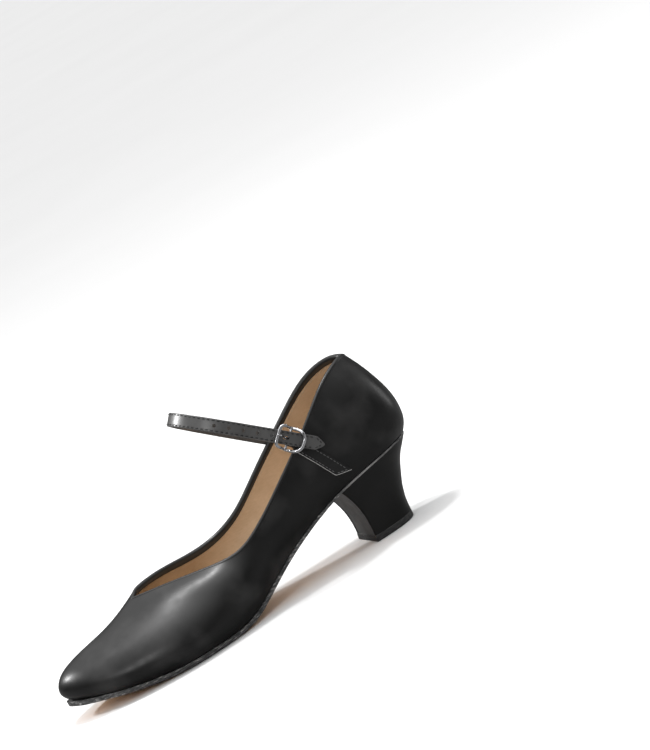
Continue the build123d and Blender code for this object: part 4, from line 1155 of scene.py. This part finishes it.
# half of the frame's bow in side view: run, height; the other half mirrors it
BOW = [(0.0, BAR_HEIGHT), (1.2, BAR_HEIGHT + 0.3), (2.9, 4.0), (5.2, 6.5),
       (7.4, FRAME_END_HEIGHT - 0.05), (11.0, FRAME_END_HEIGHT)]
bow = Spline(*zip(*([(-run, height) for run, height in BOW[:0:-1]] + BOW)))
FRAME_LENGTH, FRAME_WIDTH = 16.7, 13.3
FLAT_CORNER, ROUND_CORNER = 2.8, 5.5    # radii at the -run and +run ends
WIRE_ACROSS, WIRE_UP = 0.95, 0.80       # half sizes of the frame's section


def frame_outline():
    """180 points of a smoothed rounded rectangle: run, across"""
    points = []
    for k, (end, side) in enumerate(((1, 1), (-1, 1), (-1, -1), (1, -1))):
        r = ROUND_CORNER if end > 0 else FLAT_CORNER
        cx, cy = end * (FRAME_LENGTH / 2 - r), side * (FRAME_WIDTH / 2 - r)
        for a in np.radians(90 * k + 90 * np.arange(15) / 14):
            points.append((cx + r * math.cos(a), cy + r * math.sin(a)))
    points = even(np.array(points + points[:1]), 181)[:-1]
    for _ in range(14):
        points = (np.roll(points, 1, 0) + 2 * points + np.roll(points, -1, 0)) / 4
    return points


run, across = frame_outline().T
centre = buckle_point(run, across, bow(run))
along = unit(np.roll(centre, -1, 0) - np.roll(centre, 1, 0))
outward = unit(np.cross(along, SIDEWAYS))
upward = np.cross(outward, along)
a = np.arange(18) * TAU / 18
wire_out = WIRE_ACROSS * signed_power(np.cos(a), 0.75)
wire_up = WIRE_UP * signed_power(np.sin(a), 0.85)
rows = (centre[:, None] + outward[:, None] * wire_out[:, None]
        + upward[:, None] * wire_up[:, None])
assign(loft("buckle_ring", rows, chrome, "buckle", closed=True), "chrome", "buckle_frame")

# prong: an eye rolled round the bar and a tapered tongue that rests on the frame
EYE_RADIUS = 1.16
# section of the eye: distance from the rolled line, place across
EYE_SECTION = [(-0.36, -0.6), (-0.36, 0.6), (-0.18, 0.8), (0.2, 0.8), (0.36, 0.6),
               (0.36, -0.6), (0.2, -0.8), (-0.18, -0.8)]
# middle of the tongue: distance along it, run, height
TONGUE_PATH = [(0, -0.3, BAR_HEIGHT + 1.05), (2.6, -2.4, BAR_HEIGHT + 2.4),
               (5.2, -4.6, BAR_HEIGHT + 3.9), (8.2, -6.9, FRAME_END_HEIGHT + 1.35),
               (10.9, -9.5, FRAME_END_HEIGHT + 1.45)]
TONGUE_LENGTH = TONGUE_PATH[-1][0]


def eye_rows():
    rows = []
    for a in np.linspace(0, TAU, 33)[:-1]:
        c, s = math.cos(a), math.sin(a)
        rows.append([buckle_point((EYE_RADIUS + d) * c, w, BAR_HEIGHT + (EYE_RADIUS + d) * s)
                     for d, w in EYE_SECTION])
    return rows


def tongue_rows():
    tongue = np.array(TONGUE_PATH)
    places = np.linspace(0, TONGUE_LENGTH, 40)
    run, height = Spline(tongue[:, 0], tongue[:, 1:])(places).T
    centres = buckle_point(run, 0, height)
    rows = []
    for f, centre, across, up in zip(places / TONGUE_LENGTH, centres,
                                     *path_sides(centres, SIDEWAYS)):
        tip = 1 if f < 0.93 else math.sqrt(max(0.05, 1 - ((f - 0.93) / 0.075) ** 2))
        half, thick = 0.82 * (1 - 0.35 * f) * tip, 0.50 * (1 - 0.15 * f) * tip
        rows.append(oval(centre, across * half, up * thick, 14))
    return rows


prong = make("buckle_tongue", [rings(eye_rows(), closed=True), rings(tongue_rows())],
             chrome, "prong")
assign(prong, "chrome", "buckle_prong")

# ================================================================ buckle tab
# one strip folded round the bar and sewn down on the lateral quarter
TAB_DROP = math.radians(60.5)
TAB_RUN = np.array([0, math.cos(TAB_DROP), -math.sin(TAB_DROP)])
TAB_ACROSS = np.array([0, math.sin(TAB_DROP), math.cos(TAB_DROP)])
TAB_LENGTH, TAB_HALF = 38.5, 4.0
TAIL_START = 5.0
TAB_LIFT = 0.72                         # middle of the tab over the quarter
STITCH_RISE = 0.47                      # stitching over the middle of the tab
FOLD_RADIUS = BAR_RADIUS + 0.5
FOLD_LOW = BAR_HEIGHT - FOLD_RADIUS
# middle of the fold: run, height; over the bar, half a turn round it, and back under
FOLD = [(5.8, 1.95), (4.4, 2.35), (2.6, BAR_HEIGHT + 0.92),
        (1.0, BAR_HEIGHT + FOLD_RADIUS - 0.02)]
FOLD += [(-FOLD_RADIUS * math.sin(a), BAR_HEIGHT + FOLD_RADIUS * math.cos(a))
         for a in np.linspace(0.0, math.pi, 15)]
FOLD += [(2.0, FOLD_LOW), (4.0, FOLD_LOW + 0.05)]
lateral_quarter = face.grid(np.linspace(0.06, 0.30, 241), np.linspace(0.3, 1.0, 141))


def tab_plan(run, across):
    """a place on the tab's plan, straight over the fold and then turned down"""
    t = np.clip((run - 3.0) / 5.0, 0, 1)
    t = t * t * (3 - 2 * t)
    straight = BUCKLE_RUN * run + BUCKLE_ACROSS * across
    return BUCKLE_BASE + straight * (1 - t) + (TAB_RUN * run + TAB_ACROSS * across) * t


def tab_height(point):
    return quarter_x_at(lateral_quarter, point) - QUARTER_X + TAB_LIFT


def tab_point(run, across, rise, least=-math.inf):
    """a point above the middle of the sewn-down tab"""
    point = tab_plan(run, across)
    return point + SIDEWAYS * (max(tab_height(point), least) + rise)


def tab_end(across):
    """run of the slanted end; the upper edge runs further"""
    return TAB_LENGTH - 2.2 + 6.8 * (across + TAB_HALF) / (2 * TAB_HALF)


tab_shares = np.linspace(-1, 1, 13)
a = np.abs(tab_shares)
tab_profile = (1 - 0.35 * np.maximum(0, (a - 0.8) / 0.2) ** 2
               - 0.12 * np.exp(-((a - 0.68) / 0.08) ** 2))


def tab_faces(centres, normal, thick):
    """shaped and plain face of one row of the strip"""
    centres = np.array(centres)
    return centres + np.outer(thick * tab_profile, normal), centres - normal * thick


def fold_rows():
    fold = np.array(FOLD)
    lengths = run_length(fold)
    path = Spline(lengths, fold)(np.linspace(0, lengths[-1], 44))
    along = unit(np.gradient(path, axis=0))
    normals = np.stack([-along[:, 1], along[:, 0]], 1)
    rows = []
    for i, ((run, height), normal) in enumerate(zip(path, normals)):
        if normal @ np.array([run, height - BAR_HEIGHT]) <= 0:      # keep it off the bar
            normal = -normal
        centres = [tab_plan(run, w * TAB_HALF) + SIDEWAYS * height for w in tab_shares]
        shaped, plain = tab_faces(centres, BUCKLE_RUN * normal[0] + SIDEWAYS * normal[1],
                                  0.38 if i > 0 else 0.2)
        rows.append(np.concatenate([plain, shaped[::-1]]))
    return rows


def tail_rows():
    """the sewn-down length, easing from the fold's height on to the quarter"""
    rows = []
    for s in np.concatenate([np.linspace(TAIL_START, TAB_LENGTH - 3, 40),
                             np.linspace(TAB_LENGTH - 2.6, TAB_LENGTH, 8)]):
        f = (s - TAIL_START) / (TAB_LENGTH - TAIL_START)
        thick, trim = (0.52, 0.0) if f < 0.985 else (0.42, 0.25)
        centres = []
        for w in tab_shares * (TAB_HALF - trim):
            run = TAIL_START + f * (tab_end(w) - TAIL_START)
            point = tab_plan(run, w)
            t = np.clip((run - TAIL_START) / 4.0, 0, 1)
            height = (FOLD_LOW + 0.05) * (1 - t) + tab_height(point) * t
            centres.append(point + SIDEWAYS * height)
        shaped, plain = tab_faces(centres, SIDEWAYS, thick)
        rows.append(np.concatenate([shaped, plain[::-1]]))
    return rows


tab = loft("buckle_tab_leather", fold_rows() + tail_rows(), tab_leather, None, angle=60)
cut(tab, [hole_cutter(BUCKLE_BASE + BUCKLE_RUN * 0.1, SIDEWAYS, BUCKLE_RUN, (3.1, 1.4),
                      (0.2, 6), 24)])
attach(tab, "shoe")
assign(tab, "strap_leather", "buckle_tab")

# painted highlight along the tab's lower side and its end: a light grey strip for the light its
# cut edge catches
edge = [(run, -TAB_HALF + 0.10) for run in np.arange(9.0, tab_end(-TAB_HALF) - 0.2, 0.7)]
edge += [(tab_end(w) - 0.16, w) for w in np.linspace(-TAB_HALF + 0.12, TAB_HALF - 0.15, 16)]
edge = np.array([tab_point(run, w, 0.30) for run, w in edge])
for _ in range(3):
    edge[1:-1] = (edge[:-2] + 2 * edge[1:-1] + edge[2:]) / 4
rows = [oval(centre, across * 0.2, up * 0.2, 8)
        for centre, across, up in zip(edge, *path_sides(edge, SIDEWAYS))]
assign(loft("tab_edge_highlight_strip", rows, tab_edge_highlight), "strap_leather")

# stitching along both edges of the tab, across its slanted end and below the fold
TAB_STITCH = dict(pitch=2.4, length=1.7, radius=0.26)
threads = []
for w in (-2.75, 2.75):
    row = [tab_point(run, w, STITCH_RISE) for run in np.arange(8.0, TAB_LENGTH + 4.5, 0.6)
           if run <= tab_end(w) - 1.2]
    threads += stitches(row, SIDEWAYS, **TAB_STITCH)
stitch_w = np.linspace(-2.6, 2.6, 8)
for row in ([tab_point(tab_end(w) - 1.5, w, STITCH_RISE) for w in stitch_w],
            [tab_point(8.2, w, STITCH_RISE, least=FOLD_LOW) for w in stitch_w]):
    threads += stitches(row, SIDEWAYS, start=0.3, **TAB_STITCH)
assign(make("tab_stitches", threads, tab_thread_painted_highlight), "strap_leather")


# ================================================================ stage (metres)
def floor_material():
    """pale floor, darker in reflections, clear from below or when the camera is under it"""
    material, sh = new_material("floor_pale")
    pale = sh.ramp(sh.noise(scale=3, detail=2), [(0.3, (0.795,) * 3), (0.7, (0.81,) * 3)])
    glossy = sh.node("LightPath").outputs["Is Glossy Ray"]
    sh.surface(sh.mix(glossy, pale, (0.16, 0.16, 0.16)), 0.9,
               extra={"Specular IOR Level": 0.2})
    camera_at = sh.node("VectorTransform", {0: (0, 0, 0)}, vector_type="POINT",
                        convert_from="CAMERA", convert_to="WORLD").outputs[0]
    camera_z = sh.node("SeparateXYZ", {0: camera_at}).outputs[2]
    below = sh.math("LESS_THAN", camera_z, 0.0)
    backfacing = sh.node("NewGeometry").outputs["Backfacing"]
    clear = sh.math("MAXIMUM", below, backfacing)
    solid = sh.tree.nodes["Principled BSDF"].outputs[0]
    glass = sh.node("BsdfTransparent").outputs[0]
    surface = sh.node("MixShader", {0: clear, 1: solid, 2: glass}).outputs[0]
    sh.feed(sh.tree.nodes["Material Output"], {"Surface": surface})
    return material


bpy.ops.mesh.primitive_plane_add(size=80, location=(0, 0, -0.0002))
floor = bpy.context.object
floor.name = "floor"
floor.data.materials.append(floor_material())

# grey levels of the world from straight down (0) to straight up (1)
WORLD_GREYS = [(0.0, 0.85), (0.47, 0.6), (0.51, 0.07), (0.62, 0.09), (0.78, 0.46),
               (0.90, 1.0), (1.0, 1.25)]
WORLD_STRENGTH = 1.15
scene = bpy.context.scene
world = bpy.data.worlds.new("studio")
scene.world = world
sh = Shader(world)
direction = sh.node("TexCoord").outputs["Generated"]
upward = sh.node("SeparateXYZ", {0: direction}).outputs[2]
greys = sh.ramp(sh.remap(upward, source=(-1.0, 1.0)), [(p, (v,) * 3) for p, v in WORLD_GREYS])
sh.feed(sh.tree.nodes["Background"], {0: greys, 1: WORLD_STRENGTH})

# camera pose: world to a camera that looks along +Z with Y down, in mm
CAMERA_TURN = np.array([1.7782947847467874, 0.7384323009138205, -1.2807473703681582])
CAMERA_SHIFT = np.array([39.58198641253737, 91.09398085931339, 2221.8567588855462])
CAMERA_LENS = 204.798998                # mm, for a sensor 36 mm wide


def rotation_matrix(vector):
    """Rodrigues' formula; the vector's length is the angle"""
    angle = np.linalg.norm(vector)
    x, y, z = vector / angle
    K = np.array([[0, -z, y], [z, 0, -x], [-y, x, 0]])
    return np.eye(3) + math.sin(angle) * K + (1 - math.cos(angle)) * K @ K


def add_object(name, data):
    item = bpy.data.objects.new(name, data)
    scene.collection.objects.link(item)
    return item


turn = rotation_matrix(CAMERA_TURN)
pose = np.eye(4)
pose[:3] = np.column_stack([turn[0], -turn[1], -turn[2], -turn.T @ CAMERA_SHIFT * MM])
lens = bpy.data.cameras.new("camera")
camera = add_object("camera", lens)
camera.matrix_world = Matrix(pose.tolist())
lens.sensor_fit = "HORIZONTAL"
lens.sensor_width = 36
lens.lens = CAMERA_LENS
lens.clip_start, lens.clip_end = 0.05, 50
scene.camera = camera

# softboxes: name, direction from the aim, distance, width, height, power
LIGHT_AIM = np.array([0.0, -0.09, 0.045])
SOFTBOXES = [
    ("key", (-0.14, 0.03, 0.99), 1.6, 0.18, 0.18, 11.0),
    ("toe", (-0.48, -0.61, 0.63), 1.7, 0.22, 0.22, 17.0),
    ("rim", (-0.08, 1.0, 0.12), 1.8, 0.35, 0.5, 2.0),
    ("side", (0.72, -0.51, 0.46), 2.2, 0.45, 0.45, 5.0)]


def facing(direction):
    return Vector(direction).to_track_quat("Z", "Y").to_euler()


for name, direction, distance, width, height, power in SOFTBOXES:
    direction = unit(np.array(direction))
    light = bpy.data.lights.new(name, "AREA")
    light.shape = "RECTANGLE"
    light.size, light.size_y = width, height
    light.energy = power
    box = add_object(name, light)
    box.rotation_euler = facing(direction)
    box.location = Vector(LIGHT_AIM + direction * distance)

sun = bpy.data.lights.new("sky", "SUN")
sun.energy, sun.angle = 0.8, math.radians(50)
add_object("sky", sun).rotation_euler = facing((0.15, 0.35, 1.0))

scene.view_settings.view_transform = "Standard"
scene.view_settings.look = "None"
scene.view_settings.exposure = 0.0
